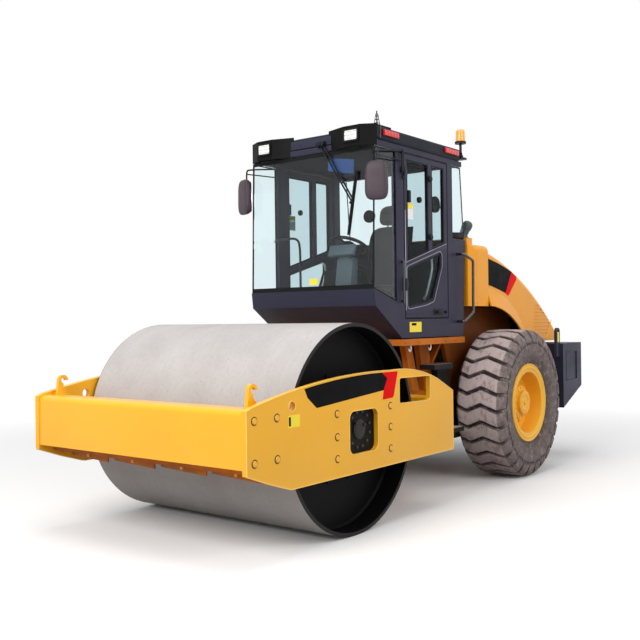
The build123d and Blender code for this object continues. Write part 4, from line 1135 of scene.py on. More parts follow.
nose = (PLATE_HIGH[0] - DRUM.x - 0.043, 1.067)
front_arch = arch_through((-0.400, 1.222), (0.395, 1.200), nose)
rear_arch = arch_through((-1.110, 1.112), (-0.800, 1.197), (-0.400, 1.222))


def arch(x):
    """Height of the side plate's top edge; x is from the drum's axis."""
    return front_arch(x) if x > -0.4 else rear_arch(x)


def outer(side, x, z, lift=0.0):
    """A point on a side plate's outer face; x is from the drum's axis."""
    return (DRUM.x + x, side * (PLATE_OUT + lift), z)


def bolt_places(lift):
    """Both plates' bolts as (place, normal) pairs, lifted off the face."""
    return [(outer(side, x, z, lift), (0, side, 0)) for _, side in SIDES for x, z in PLATE_BOLTS]


washers, heads = bolt_places(0.001), bolt_places(0.002)
studs(washers, "plate_washers", "drum_frame", dark_steel, "dark_steel", 0.030, 0.002, 24)
studs(heads, "plate_bolts", "drum_frame", yellow_paint, "yellow_paint", 0.0225, 0.007, 20)


def field(points, side, material, name, body, slot, level, thick=0.0012):
    """A thin film on a face square to Y; points are (x, z)."""
    film = Form().plate(points, *across(side, level, level + thick), ease=0)
    return film.piece(name, body, material, slot)


black_top = [(0.714 - 0.02 * n, arch(0.714 - 0.02 * n) - 0.014) for n in range(49)]
black_field = rounded([(0.700, 1.140), (0.66, 1.087), (0.561, 1.01), (-0.267, 1.001)], 0.03)[6:-6]
black_field += [(-0.283, 1.074), (-0.334, 1.164), (-0.262, arch(-0.262) - 0.014)]
black_field += [(x, z) for x, z in reversed(black_top) if -0.25 < x < 0.7]
red_field = [(-0.262, arch(-0.262) - 0.014), (-0.334, 1.164), (-0.283, 1.074), (-0.267, 1.001),
             (-0.407, 1.006), (-0.425, 1.020), (-0.484, arch(-0.484) - 0.022),
             (-0.478, arch(-0.478) - 0.014)]
for word, side in SIDES:
    for part, points, material, slot in (("dark", black_field, decal_black, "black_plastic"),
                                         ("red", red_field, decal_red, "red_lens")):
        points = [(DRUM.x + x, z) for x, z in points]
        name = "plate_decal_%s_%s" % (part, word)
        field(points, side, material, name, "drum_frame", slot, PLATE_OUT - 0.0002)
    sticker = rounded(rectangle(0.748, 0.901, 0.874, 0.985), 0.006)
    field([(DRUM.x + x, z) for x, z in sticker], side, sticker_yellow, "plate_sticker_" + word,
          "drum_frame", "yellow_paint", PLATE_OUT - 0.0002)
    icon = [(DRUM.x + x, z) for x, z in rounded(rectangle(0.846, 0.912, 0.866, 0.974), 0.004)]
    field(icon, side, decal_black, "plate_sticker_bar_" + word, "drum_frame", "black_plastic",
          PLATE_OUT + 0.0008)
print("plate bolts:", len(heads))

# %% [markdown]
# Weld beads run where the beams meet the plates, and round each lashing hook. A bead is a thin
# bar whose thickness ripples, because a welder lays it down drop by drop. Behind the hub window
# the drive's carrier shows its ring of bolts and two hose ports.

# %% Welds, carrier and scraper bolts
def weld(form, path, radius=0.005):
    """A rippled bead along straight runs between points."""
    for start, end in zip(path, path[1:]):
        start, end = Vector(start), Vector(end)
        count = max(int((end - start).length / 0.011), 2)
        points = [start.lerp(end, k / count) for k in range(count + 1)]
        form.tube(points, [radius * (1.0 if k % 2 else 0.78) for k in range(count + 1)], 6)


beam_low, beam_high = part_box("drum_frame_front_beam")
back_low, back_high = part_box("drum_frame_rear_beam")
beads = Form()
for _, side in SIDES:
    y = side * (PLATE_IN - 0.001)
    x0, x1 = beam_high[0] - 0.160, beam_high[0]
    weld(beads, [(x0, y, 0.668), (x0, y, 1.056), (x1 - 0.05, y, 1.056)])
    weld(beads, [(x0, y, 0.668), (x1, y, 0.668), (x1, y, 1.010)])
    weld(beads, [(back_low[0], y, 0.50), (back_low[0], y, 0.94), (back_high[0], y, 0.94),
                 (back_high[0], y, 0.50)])
    for edge in (-0.0155, 0.0155):
        hook = side * 1.020 + edge
        weld(beads, [(x1 - 0.235, hook, 1.057), (x1 - 0.105, hook, 1.057)], 0.004)
beads.piece("drum_frame_welds", "drum_frame", yellow_paint, "yellow_paint")

CARRIER_FACE = 1.088
carrier_studs, carrier = [], Form()
for _, side in SIDES:
    y = side * CARRIER_FACE
    carrier_studs += [((DRUM.x + dx, y + side * 0.0015, DRUM.z + dz), (0, side, 0))
                      for dx, dz in circle(12, 0.135, 15)]
    for dx, dz in ((0.05, 0.05), (-0.055, 0.03)):
        carrier.turned([(0.0, 0.022), (0.008, 0.022), (0.009, 0.015), (0.022, 0.015)],
                       (DRUM.x + dx, y, DRUM.z + dz), (0, side, 0), 6)
    carrier.turned([(0.0, 0.075), (0.010, 0.075), (0.014, 0.068), (0.014, 0.03)],
                   (DRUM.x, y, DRUM.z), (0, side, 0), 40)
studs(carrier_studs, "carrier_bolts", "drum_frame", dark_steel, "dark_steel", 0.013, 0.012)
carrier.piece("carrier_ports", "drum_frame", black_paint, "black_steel")

scraper_low, scraper_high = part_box("drum_scrapers")
tabs, tab_bolts = Form(), []
for y in (-0.86, -0.40, 0.08, 0.62):
    x = beam_high[0] - 0.155
    tabs.box((x - 0.05, y - 0.045, scraper_high[2] - 0.022),
             (x + 0.035, y + 0.045, scraper_high[2] + 0.002), 0.003)
    tab_bolts += [((x + 0.034, y + d, scraper_high[2] - 0.012), (1, 0, 0)) for d in (-0.022, 0.022)]
tabs.piece("scraper_tabs", "drum_frame", yellow_paint, "yellow_paint")
studs(tab_bolts, "scraper_bolts", "drum_frame", bright_steel, "bright_steel", 0.009, 0.008)
LIP_COUNT = 4
LIP_SKEW = math.radians(-9)
lips, lip_bolts = Form(), []
for n in range(LIP_COUNT):
    y = (n - (LIP_COUNT - 1) / 2) * DRUM_HIGH.y / 2
    place = Matrix.Translation((beam_low[0] - 0.020, y, 0)) @ Matrix.Rotation(LIP_SKEW, 4, "Z")
    lips.box((-0.012, -0.285, 0.552), (0.002, 0.285, scraper_low[2] + 0.012), 0.003, place)
    lip_bolts.append((tuple(place @ Vector((0.002, 0, 0.578))), (1, 0, 0)))
lips.piece("scraper_lips", "drum_frame", shaded_frame_paint, "yellow_paint")
studs(lip_bolts, "scraper_lip_bolts", "drum_frame", yellow_paint, "yellow_paint", 0.016, 0.012)


def outer_edges(node, level):
    """The edges between a node's outer face, at a level along Y either way, and its walls."""
    mesh = bmesh.new()
    mesh.from_mesh(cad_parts[node].data)
    bmesh.ops.remove_doubles(mesh, verts=mesh.verts, dist=1e-5)
    found = []
    for edge in mesh.edges:
        faces = [abs(face.normal.y) for face in edge.link_faces]
        if all(abs(abs(v.co.y) - level) < 5e-4 for v in edge.verts) and len(faces) == 2:
            if max(faces) > 0.9 and min(faces) < 0.5:
                found.append([v.co.copy() for v in edge.verts])
    mesh.free()
    return found


# Beads along the side plates' outer edges, paler than the plates' yellow: a painted highlight on
# the edges.
rims = Form()
for ends_of_edge in outer_edges("drum_frame_side_plates", PLATE_OUT):
    rims.tube(ends_of_edge, 0.0035, 6)
rims.piece("plate_edge_highlights", "drum_frame", highlight_edge_paint, "yellow_paint")
print("front beam", [round(v, 3) for v in beam_high], "scrapers",
      [round(v, 3) for v in scraper_high])

# %% [markdown]
# ## Drum ends
# The drum's head is welded into the shell with one heavy ring of weld, and the buffers stand on
# round pads that bolt on.

# %% Drum ends
ends, end_bolts = Form(), []
for _, side in SIDES:
    ends.turned([(side * 0.868, 0.748), (side * 0.888, 0.748), (side * 0.904, 0.763),
                 (side * 0.904, 0.768), (side * 0.868, 0.768)], DRUM, (0, 1, 0), 96, closed=True)
    end_bolts += [((DRUM.x + dx, side * 0.8855, DRUM.z + dz), (0, side, 0))
                  for dx, dz in circle(10, 0.42)]
ends.piece("drum_head_welds", "drum", drum_material, "black_steel")
studs(end_bolts, "drum_head_bolts", "drum", drum_material, "black_steel", 0.016, 0.014)
print("drum ends done")

# %% [markdown]
# ## Cab glazing
# Each pane sits in a black rubber seal, and the windscreen carries a dark printed border that
# hides the glue. On the machine the seals are what draws the cab's lines, so they are modelled:
# thin beads that run along the edges of the openings, each a rounded path swept with a small
# bar.

# %% Seals and borders
CAB_FRONT, CAB_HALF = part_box("cab_tub")[1][:2]
SCREEN_FOOT = Vector((CAB_FRONT - 0.003, 0, 1.885))
SCREEN_HEAD = Vector((CAB_FRONT - 0.039, 0, 3.115))
LOWER_WINDOW = [(0.365, 2.080), (0.365, 1.730), (0.060, 1.768), (-0.070, 1.800), (-0.225, 2.120),
                (-0.225, 2.245)]
POST = (-0.070, -0.010)


def on_screen(y, share):
    """A point on the windscreen's outer face, share up from its foot."""
    place = SCREEN_FOOT.lerp(SCREEN_HEAD, share)
    return (place.x, y, place.z)


def shrink(outline, inset):
    """An outline moved inwards by inset."""
    count = len(outline)
    area = sum(outline[i - 1][0] * outline[i][1] - outline[i][0] * outline[i - 1][1]
               for i in range(count))
    turn = 1 if area > 0 else -1
    result = []
    for i in range(count):
        before, here, after = (Vector(outline[k % count]) for k in (i - 1, i, i + 1))
        a, b = (here - before).normalized(), (after - here).normalized()
        na, nb = Vector((-a.y, a.x)) * turn, Vector((-b.y, b.x)) * turn
        bisector = (na + nb).normalized()
        result.append(tuple(here + bisector * inset / max(bisector.dot(na), 0.3)))
    return result


def band(form, outline, width, y0, y1, radius=0.02):
    """A flat frame that follows an outline inwards, between two levels along Y."""
    outside = rounded(outline, radius, 4)
    inside = rounded(shrink(outline, width), max(radius - width, 0.004), 4)
    count = len(outside)
    if len(inside) != count:
        inside = rounded(shrink(outline, width), radius, 4)
    points = [(x, y, z) for y in (y0, y1) for loop in (outside, inside) for x, z in loop]
    faces = []
    for i in range(count):
        n = (i + 1) % count
        a, b, c, d = ((loop * count + i, loop * count + n) for loop in range(4))
        faces += [(a[0], a[1], b[1], b[0]), (c[0], d[0], d[1], c[1]), (a[0], c[0], c[1], a[1]),
                  (b[0], b[1], d[1], d[0])]
    form.solid(points, faces)


print("seal helpers ready")

# %% Door seals and trims
for word, side in SIDES:
    body = "door_" + word
    seals, trims, edges, fittings = Form(), Form(), Form(), Form()

    def levels(a, b):
        """Two levels along Y from the door's face, outwards positive."""
        return across(side, CAB_HALF + a, CAB_HALF + b)

    front_pane = [(0.365, 2.140), (0.365, 3.060), (POST[1], 3.060), (POST[1], 2.2526)]
    rear_pane = [(POST[0], 2.2706), (POST[0], 3.060), (-0.300, 3.060), (-0.300, 2.340)]
    for outline in (front_pane, rear_pane, LOWER_WINDOW):
        band(seals, outline, 0.016, *levels(-0.016, -0.001), radius=0.03)
    band(seals, [(0.413, 1.630), (0.413, 3.113), (-0.363, 3.113), (-0.363, 1.630)], 0.007,
         *levels(-0.01, 0.0015), radius=0.02)
    band(trims, shrink(LOWER_WINDOW, -0.018), 0.006, *levels(-0.002, 0.005), radius=0.05)
    rail = [(0.395, 2.094), (0.395, 2.125), (-0.335, 2.334), (-0.335, 2.300)]
    trims.plate(rail, *levels(-0.001, 0.006), ease=0.002)
    trims.plate([(0.40, 1.66), (0.40, 1.672), (-0.30, 1.672), (-0.30, 1.66)],
                *levels(-0.001, 0.003), ease=0.001)
    # Pale strips round the lower window, along the belt rail and down the door's front edge:
    # painted highlights on the edges.
    band(edges, shrink(LOWER_WINDOW, -0.024), 0.005, *levels(-0.001, 0.006), radius=0.055)
    edges.plate([(0.395, 2.128), (0.395, 2.133), (-0.335, 2.342), (-0.335, 2.337)],
                *levels(-0.001, 0.007))
    edges.plate(rectangle(0.398, 1.700, 0.406, 2.600), *levels(-0.001, 0.006))
    edges.piece("door_edge_highlights_" + word, body, door_edge_highlight, "bright_steel")
    seals.piece("door_seals_" + word, body, seal_rubber, "rubber")
    trims.piece("door_trims_" + word, body, slate_paint, "slate_paint")
    face, outward = side * CAB_HALF, (0, side, 0)
    for z in (2.930, 2.386):
        fittings.knob((-0.040, face, z), outward, -0.002, 0.030, 0.012, 0.020, 0.022, 24)
    fittings.between((0.305, 0.345), levels(-0.014, 0.010), (2.675, 2.785), 0.006)
    fittings.knob((0.150, face, 2.715), outward, -0.012, 0.028, 0.010, 0.018, 0.018, 20)
    fittings.between((-0.235, -0.085), levels(-0.001, 0.008), (1.655, 1.712), 0.006)
    fittings.between((-0.222, -0.120), levels(0.006, 0.030), (1.672, 1.694), 0.007)
    fittings.knob((-0.300, face, 1.684), outward, 0.0, 0.013, 0.018, 0.020, 0.010, 16)
    fittings.piece("door_fittings_" + word, body, black_plastic, "black_plastic")
    bar = smooth_path([(-0.150, side * 0.672, 2.215), (-0.165, side * 0.640, 2.190),
                       (-0.165, side * 0.640, 2.080), (-0.060, side * 0.640, 1.850),
                       (-0.010, side * 0.645, 1.815), (0.020, side * 0.672, 1.800)])
    Form().tube(bar, 0.011).piece("door_grab_" + word, body, bright_steel, "bright_steel")
    film = levels(-0.0118, -0.0108)
    label = Form().between((0.245, 0.349), film, (2.525, 2.620), 0)
    label.piece("door_label_" + word, body, sticker_white, "glass")
    label = Form().between((0.245, 0.349), film, (2.623, 2.670), 0)
    label.piece("door_label_top_" + word, body, sticker_yellow, "yellow_paint")
print("door seals done")

# %% Fixed seals
SCREEN_HALF = 0.693
SCREEN_EDGE = (0.688, 0.694)


def on_glass(form, corners, low, high):
    """A slab on the windscreen, between two lifts off its face; corners are (y, share) pairs."""
    points = [on_screen(y, share) for y, share in corners]
    form.solid([(x + lift, y, z) for lift in (low, high) for x, y, z in points], SLAB)


seals = Form()
for a, b in ((0.0, 0.032), (0.975, 1.0)):
    on_glass(seals, [(-SCREEN_HALF, a), (-SCREEN_HALF, b), (SCREEN_HALF, b), (SCREEN_HALF, a)],
             -0.001, 0.003)
for _, side in SIDES:
    inner, outer_edge = (side * y for y in SCREEN_EDGE)
    on_glass(seals, [(inner, 0), (inner, 1), (outer_edge, 1), (outer_edge, 0)], -0.001, 0.003)
    y0, y1 = across(side, CAB_HALF - 0.012, CAB_HALF - 0.008)
    quarter = [(0.545, 1.778), (0.900, 1.888), (0.866, 3.113), (0.545, 3.113)]
    band(seals, quarter, 0.012, y0, y1, radius=0.012)
    tail = [(-0.465, 2.402), (-0.465, 3.113), (-0.645, 3.113), (-0.708, 2.402)]
    band(seals, tail, 0.014, y0, y1, radius=0.012)
    seals.plate([(-0.470, 2.408), (-0.700, 2.408), (-0.694, 2.476), (-0.470, 2.462)], y0, y1, 0.001)
seals.piece("cab_seals", "rear_frame", seal_rubber, "rubber")
label = Form()
on_glass(label, [(0.0, 0.045), (0.09, 0.045), (0.09, 0.088), (0.0, 0.088)], 0.0012, 0.0022)
label.piece("screen_label", "rear_frame", sticker_yellow, "yellow_paint")
label = Form().between((0.140, 0.345), (CAB_HALF - 0.0002, CAB_HALF + 0.001), (1.502, 1.594), 0)
label.piece("sill_label", "rear_frame", sticker_yellow, "yellow_paint")
label = Form().between((0.230, 0.310), (CAB_HALF + 0.0008, CAB_HALF + 0.0022), (1.562, 1.584), 0)
label.piece("sill_label_bar", "rear_frame", decal_black, "black_plastic")
print("fixed seals done")

# %% [markdown]
# ## Mirrors, lamps and beacon
# The mirror's shell is a soft closed form, so it is modelled as a rounded block whose corners are
# drawn in by a power law. It stands where the CAD solid stands and takes its place. Lamps get a
# bezel and a lens, and the beacon a ribbed dome on a black foot, because a lamp of one colour looks
# like a toy.

# %% Soft block
def soft_block(form, centre, half, turn=None, power=3.2, cuts=14, shape=None):
    """A rounded block: a cube's grid pushed onto a superellipsoid."""
    tool = bmesh.new()
    bmesh.ops.create_cube(tool, size=2.0)
    bmesh.ops.subdivide_edges(tool, edges=tool.edges, cuts=cuts, use_grid_fill=True)
    for vertex in tool.verts:
        p = vertex.co
        length = (abs(p.x) ** power + abs(p.y) ** power + abs(p.z) ** power) ** (1 / power)
        q = Vector((p.x, p.y, p.z)) / max(length, 1e-6)
        q = Vector((q.x * half[0], q.y * half[1], q.z * half[2]))
        if shape:
            q = shape(q, p)
        vertex.co = Vector(centre) + (turn @ q if turn else q)
    bmesh.ops.recalc_face_normals(tool, faces=tool.faces)
    return form.absorb(tool)


# %% Mirrors
MIRROR_TURN = 21
HEAD_HALF = (0.034, 0.104, 0.166)


def narrow_top(q, p):
    """The head narrows a little towards its top."""
    return Vector((q.x * 0.96, q.y * (1.0 - 0.10 * (q.z / 0.165 + 1) / 2), q.z))


def raised(place, z, x=0.0):
    """The point at height z over a place, and x ahead of it."""
    return place + Vector((x, 0, z))


shells, glasses, arms = Form(), Form(), Form()
for _, side in SIDES:
    turn = Matrix.Rotation(math.radians(MIRROR_TURN * side), 3, "Z")
    head = Vector((CAB_FRONT + 0.025, side * (CAB_HALF + 0.052), 2.800))
    soft_block(shells, head, HEAD_HALF, turn, 4.0, shape=narrow_top)
    outline = rounded([(-0.088, -0.150), (0.088, -0.150), (0.078, 0.150), (-0.078, 0.150)], 0.045)
    place = Matrix.Translation(head) @ turn.to_4x4()
    glasses.plate(outline, -0.0345, -0.0315, ease=0, axis="X", turn=place)
    clamp = Vector((0.460, side * (CAB_HALF + 0.017), 0))
    elbow = Vector((0.905, side * (CAB_HALF + 0.040), 0))
    arms.tube([raised(clamp, 2.925), raised(clamp, 3.135)], 0.009)
    run = smooth_path([raised(clamp, 3.120), raised(clamp.lerp(elbow, 0.5), 3.092),
                       raised(elbow, 3.066, -0.05), raised(elbow, 3.050, -0.010),
                       raised(elbow, 3.010), raised(elbow, 2.930)], 4)
    arms.tube(run, 0.008)
    arms.tube([raised(clamp, 3.035), raised(elbow, 3.020)], 0.006)
    for z in (2.945, 3.115):
        arms.between((0.448, 0.472), sorted((side * CAB_HALF, clamp.y)), (z - 0.014, z + 0.014))
        arms.knob(raised(clamp, z), (0, side, 0), 0.0, 0.011, 0.012, 0.014, 0.008, 6)
    arms.turned([(-0.02, 0.014), (0.02, 0.014)], raised(elbow, 2.945), (0, 0, 1), 16)
shells.piece("mirror_shells", "rear_frame", mirror_plastic, "black_plastic", "mirrors")
glasses.piece("mirror_glasses", "rear_frame", mirror_glass, "glass")
arms.piece("mirror_arms", "rear_frame", black_paint, "black_steel")
print("mirrors done")

# %% Lamps
# The marker lamps' reach along X, and the facets in each.
MARKERS = ((0.540, 0.770), (-0.540, -0.290))
FACETS = 5
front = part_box("roof_lamp_lenses")[1][0]
bezels, lenses, marker_rims = Form(), Form(), Form()
for _, side in SIDES:
    y0, y1 = across(side, 0.430, 0.565)
    frame_outline = rectangle(y0 - 0.012, 3.163, y1 + 0.012, 3.274)
    outside, inside = rounded(frame_outline, 0.018), rounded(shrink(frame_outline, 0.014), 0.010)
    count = len(outside)
    points = [(x, y, z) for x in (front - 0.013, front + 0.004) for loop in (outside, inside)
              for y, z in loop]
    faces = []
    for i in range(count):
        n = (i + 1) % count
        faces += [(i, n, count + n, count + i),
                  (2 * count + i, 3 * count + i, 3 * count + n, 2 * count + n),
                  (i, 2 * count + i, 2 * count + n, n),
                  (count + i, count + n, 3 * count + n, 3 * count + i)]
    bezels.solid(points, faces)
    for n in range(3):
        z = 3.188 + 0.030 * n
        bezels.box((front - 0.001, y0 + 0.004, z - 0.001), (front + 0.0015, y1 - 0.004, z + 0.001),
                   0)
for _, side in SIDES:
    for x0, x1 in MARKERS:
        y0, y1 = across(side, 0.722, 0.729)
        marker_rims.plate(rounded(rectangle(x0 - 0.008, 3.204, x1 + 0.008, 3.266), 0.012), y0, y1,
                          0.001)
        y0, y1 = across(side, 0.744, 0.7475)
        for n in range(FACETS):
            x = x0 + (x1 - x0) * (n + 0.5) / FACETS
            lenses.plate(rounded(rectangle(x - 0.018, 3.219, x + 0.018, 3.251), 0.006), y0, y1,
                         0.001)
bezels.piece("work_lamp_bezels", "rear_frame", black_plastic, "black_plastic")
marker_rims.piece("marker_rims", "rear_frame", black_plastic, "black_plastic")
lenses.piece("marker_facets", "rear_frame", red_lens, "red_lens")

beacon_low, beacon_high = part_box("beacon")
BEACON = (-0.655, 0.700, 0)
top = beacon_high[2]
dome = Form()
profile = [(top - 0.126, 0.047), (top - 0.112, 0.048)]
for n in range(7):
    z = top - 0.104 + 0.012 * n
    profile += [(z, 0.0465 - 0.0006 * n), (z + 0.006, 0.0480 - 0.0006 * n)]
profile += [(top - 0.018, 0.040), (top - 0.008, 0.030), (top - 0.002, 0.016), (top, 0.0)]
dome.turned(profile, BEACON, (0, 0, 1), 40)
dome.piece("beacon_dome", "rear_frame", amber_lens, "amber_lens", "beacon")
foot = Form()
foot.turned([(3.352, 0.050), (3.352, 0.056), (3.372, 0.056), (3.376, 0.050), (3.376, 0.0)], BEACON,
            (0, 0, 1), 40)
foot.tube([(BEACON[0], BEACON[1], 3.205), (BEACON[0], BEACON[1], 3.355)], 0.013, 16)
foot.turned([(3.214, 0.026), (3.236, 0.026), (3.240, 0.018), (3.262, 0.018), (3.262, 0.0)], BEACON,
            (0, 0, 1), 6)
foot.box((beacon_low[0], BEACON[1] - 0.040, 3.195), (-0.600, BEACON[1] + 0.040, 3.215), 0.004)
foot.piece("beacon_foot", "rear_frame", black_paint, "black_steel")
print("lamps done")

# %% [markdown]
# ## Roof front and wiper
# A visor strip closes the roof between the lamps, and the wiper hangs from a motor cover in it.
# The wiper's blade is a rubber lip in a thin carrier held by two yokes. A small lattice
# bracket for an aerial stands at the roof's left corner.

# %% Visor, wiper and bracket
roof_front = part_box("cab_roof")[1][0]
visor = Form()
visor.box((roof_front - 0.004, -0.400, 3.185), (roof_front + 0.010, 0.400, 3.262), 0.005)
visor.box((roof_front - 0.004, -0.690, 3.125), (roof_front + 0.012, 0.690, 3.176), 0.004)
for y in (-0.36, 0.36, -0.12, 0.20):
    visor.knob((roof_front + 0.009, y, 3.224), (1, 0, 0), 0.0, 0.010, 0.005, 0.007, 0.007, 12)
visor.piece("roof_visor", "rear_frame", slate_paint, "slate_paint")
wiper = Form()
top_end, low_end = Vector((0, 0.525, 2.915)), Vector((0, 0.441, 2.359))


def on_wiper(share, lift):
    """A point along the wiper blade, lift off the glass."""
    place = top_end.lerp(low_end, share)
    rise = (place.z - SCREEN_FOOT.z) / (SCREEN_HEAD.z - SCREEN_FOOT.z)
    glass_x = SCREEN_FOOT.x + (SCREEN_HEAD.x - SCREEN_FOOT.x) * rise
    return Vector((glass_x + lift, place.y, place.z))


carrier_lifts = (0.030, 0.033, 0.034, 0.033, 0.030)
wiper.tube([on_wiper(n / 4, lift) for n, lift in enumerate(carrier_lifts)], 0.006, 8)
for share in (0.14, 0.38, 0.62, 0.86):
    wiper.tube([on_wiper(share, 0.006), on_wiper(share, 0.036)], 0.007, 8)
wiper.tube([on_wiper(0.5, 0.020), on_wiper(0.5, 0.052)], 0.013, 12)
wiper.knob((roof_front + 0.034, 0.115, 3.190), (1, 0, 0), 0.0, 0.024, 0.020, 0.026, 0.016, 20)
wiper.knob((roof_front + 0.034, 0.153, 3.190), (1, 0, 0), 0.0, 0.020, 0.016, 0.020, 0.012, 20)
wiper.piece("wiper_details", "rear_frame", black_plastic, "black_plastic")
bracket = Form()
AERIAL = (0.781, 0.672)
LEG_TAPER = 0.35
for x, y in ((0.800, 0.690), (0.762, 0.690), (0.800, 0.655), (0.762, 0.655)):
    head = (AERIAL[0] + (x - AERIAL[0]) * LEG_TAPER, AERIAL[1] + (y - AERIAL[1]) * LEG_TAPER, 3.400)
    bracket.tube([(x, y, 3.300), head], 0.0035, 6)
for z, reach in ((3.320, 0.84), (3.350, 0.62), (3.380, 0.45)):
    loop = [(AERIAL[0] + dx * 0.019 * reach, AERIAL[1] + dy * 0.0175 * reach, z)
            for dx, dy in ((1, 1), (-1, 1), (-1, -1), (1, -1), (1, 1))]
    for start, end in zip(loop, loop[1:]):
        bracket.tube([start, end], 0.003, 6)
bracket.tube([(*AERIAL, 3.395), (*AERIAL, 3.425)], 0.006, 8)
bracket.tube([(0.815, 0.728, 3.180), (0.806, 0.728, 3.290), (0.800, 0.690, 3.302)], 0.005, 8)
bracket.piece("roof_bracket", "rear_frame", dark_steel, "dark_steel")
print("roof front done")

# %% [markdown]
# ## Operator's seat
# The seat is a sprung work seat: a cushion and a back with side bolsters, sewn in channels and
# edged with piping, on a rubber bellows. Foam under cloth swells between its seams, so each pad
# starts as a rounded block, rises in a crown, and is drawn in along its seams. Its piping
# follows the same outline.

# %% Padded forms
def pad(name, centre, half, turn, crown, channels=(), sides=(), power=4.5, cells=26, welt=0.006):
    """A sewn pad that faces along local Z; channels are seams at shares of X, sides of Y."""

    def swell(q, p):
        """Crowns the face, sinks its seams and draws the walls in a little."""
        face = max(0.0, p.z) ** 2
        rise = crown * (1 - p.x ** 2 * 0.8) * (1 - p.y ** 2 * 0.8)
        for seam in channels:
            rise -= 0.010 * math.exp(-((p.x - seam) / 0.05) ** 2)
        for seam in sides:
            rise -= 0.012 * math.exp(-((p.y - seam) / 0.035) ** 2)
            if abs(p.y) > abs(seam):
                rise += 0.012 * math.sin(math.pi * (abs(p.y) - abs(seam)) / (1 - abs(seam)))
        wall = 1.0 - 0.03 * (1 - p.z ** 2)
        return Vector((q.x * wall, q.y * wall, q.z + rise * face))

    form = soft_block(Form(), centre, half, turn, power, cells, swell)
    if welt:
        loop = []
        for n in range(65):
            a = 2 * math.pi * n / 64
            c, s = math.cos(a), math.sin(a)
            size = (abs(c) ** power + abs(s) ** power) ** (-1 / power)
            local = Vector((c * size * half[0] * 0.975, s * size * half[1] * 0.975, half[2] * 0.35))
            loop.append(Vector(centre) + turn @ local)
        form.tube(loop, welt, 8)
    thing = form.piece(name, "rear_frame", cloth, "seat_fabric", crease=60)
    return thing


flat = Matrix.Identity(3)
BACK_RUN, BACK_RISE = 0.10, 0.63
lean = math.atan2(BACK_RUN, BACK_RISE)
up = Vector((-math.sin(lean), 0, math.cos(lean)))
ahead = Vector((math.cos(lean), 0, math.sin(lean)))
upright = Matrix((up, Vector((0, -1, 0)), ahead)).transposed()
BOLSTER_SEAMS = (-0.62, 0.62)
cushion = pad("seat_cushion", (-0.100, 0, 1.876), (0.248, 0.243, 0.052), flat, 0.016, (-0.25, 0.30),
              BOLSTER_SEAMS)
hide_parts("operator_seat")
pad("seat_back", (-0.389, 0, 2.255), (0.312, 0.233, 0.053), upright, 0.016, (-0.35, 0.10, 0.52),
    BOLSTER_SEAMS)
pad("seat_headrest", (-0.452, 0, 2.677), (0.100, 0.128, 0.043), upright, 0.012, (0.0,), (), 3.2, 18,
    0.005)
for word, side in SIDES:
    pad("armrest_" + word, (-0.235, side * 0.292, 2.150), (0.155, 0.036, 0.026), flat, 0.006, (),
        (), 3.6, 12, 0.0)
print("pads done")

# %% Seat frame and bellows
shell = Form()
for _, side in SIDES:
    shell.tube([(-0.47, side * 0.06, 2.545), (-0.50, side * 0.06, 2.66)], 0.008)
    shell.tube(smooth_path([(-0.400, side * 0.250, 2.06), (-0.380, side * 0.288, 2.11),
                            (-0.300, side * 0.292, 2.126), (-0.120, side * 0.292, 2.126)]), 0.011)
    shell.knob((-0.345, side * 0.236, 1.900), (0, side, 0), 0.0, 0.034, 0.016, 0.022, 0.026, 24)
shell.plate([(-0.440, 1.930), (-0.420, 1.930), (-0.520, 2.560), (-0.535, 2.560)], -0.215, 0.215,
            0.004)
shell.box((-0.345, -0.225, 1.795), (0.130, 0.225, 1.822), 0.008)
shell.box((0.060, -0.06, 1.770), (0.175, 0.06, 1.786), 0.004)
shell.piece("seat_frame", "rear_frame", black_plastic, "black_plastic")
rib = Form()
rib.plate(rounded(rectangle(-0.345, -0.240, 0.125, 0.240), 0.06), 1.515, 1.545, 0.010,
          axis="Z")
RIB_COUNT = 6
RIB_STEP = 0.047
grow(rib.mesh("rib"), ROW, "seat_bellows", "rear_frame", rubber, "rubber", Count=RIB_COUNT,
     Step=(0.0, 0.0, RIB_STEP))
print("bellows ribs:", RIB_COUNT)

# %% [markdown]
# ## Controls and trim
# The steering wheel stands on a boxed column with a small display, and the travel lever and
# switches are on the console at the operator's right hand. The walls, floor and ceiling are
# lined. Through tinted glass only their outlines show, so they are kept simple but complete.

# %% Column, console and levers
trim_grey = simple("trim_grey", tone(92, 104, 110), 0.7, 0.0, 600.0, 0.2, tone(80, 92, 98),
                   Specular_IOR_Level=0.2)
column = Form()
column.plate([(0.298, 1.490), (0.452, 1.490), (0.425, 1.760), (0.352, 2.230), (0.262, 2.200),
              (0.292, 1.760)], -0.092, 0.092, 0.014)
column.plate([(0.395, 2.215), (0.430, 2.235), (0.385, 2.335), (0.350, 2.320)], -0.150, 0.150, 0.010)
column.box((0.250, -0.105, 1.488), (0.500, 0.105, 1.530), 0.012)
column.piece("steering_column_cover", "rear_frame", trim_grey, "black_plastic")
screen = Form()
screen.plate([(0.3560, 2.246), (0.3580, 2.247), (0.3550, 2.312), (0.3530, 2.311)], -0.120, 0.120, 0)
screen.piece("display", "rear_frame", seal_rubber, "black_plastic")
levers = Form()
levers.tube(smooth_path([(0.040, -0.325, 2.105), (0.055, -0.325, 2.170), (0.052, -0.325, 2.245)]),
            0.010)
soft_block(levers, (0.052, -0.325, 2.275), (0.024, 0.022, 0.045), None, 2.6, 8)
levers.turned([(0.0, 0.046), (0.010, 0.042), (0.018, 0.030), (0.026, 0.032), (0.034, 0.020),
               (0.045, 0.012)], (0.038, -0.325, 2.108), (0, 0, 1), 24)
levers.tube([(-0.080, -0.285, 2.105), (-0.070, -0.285, 2.190)], 0.006)
soft_block(levers, (-0.068, -0.285, 2.200), (0.015, 0.015, 0.018), None, 2.2, 6)
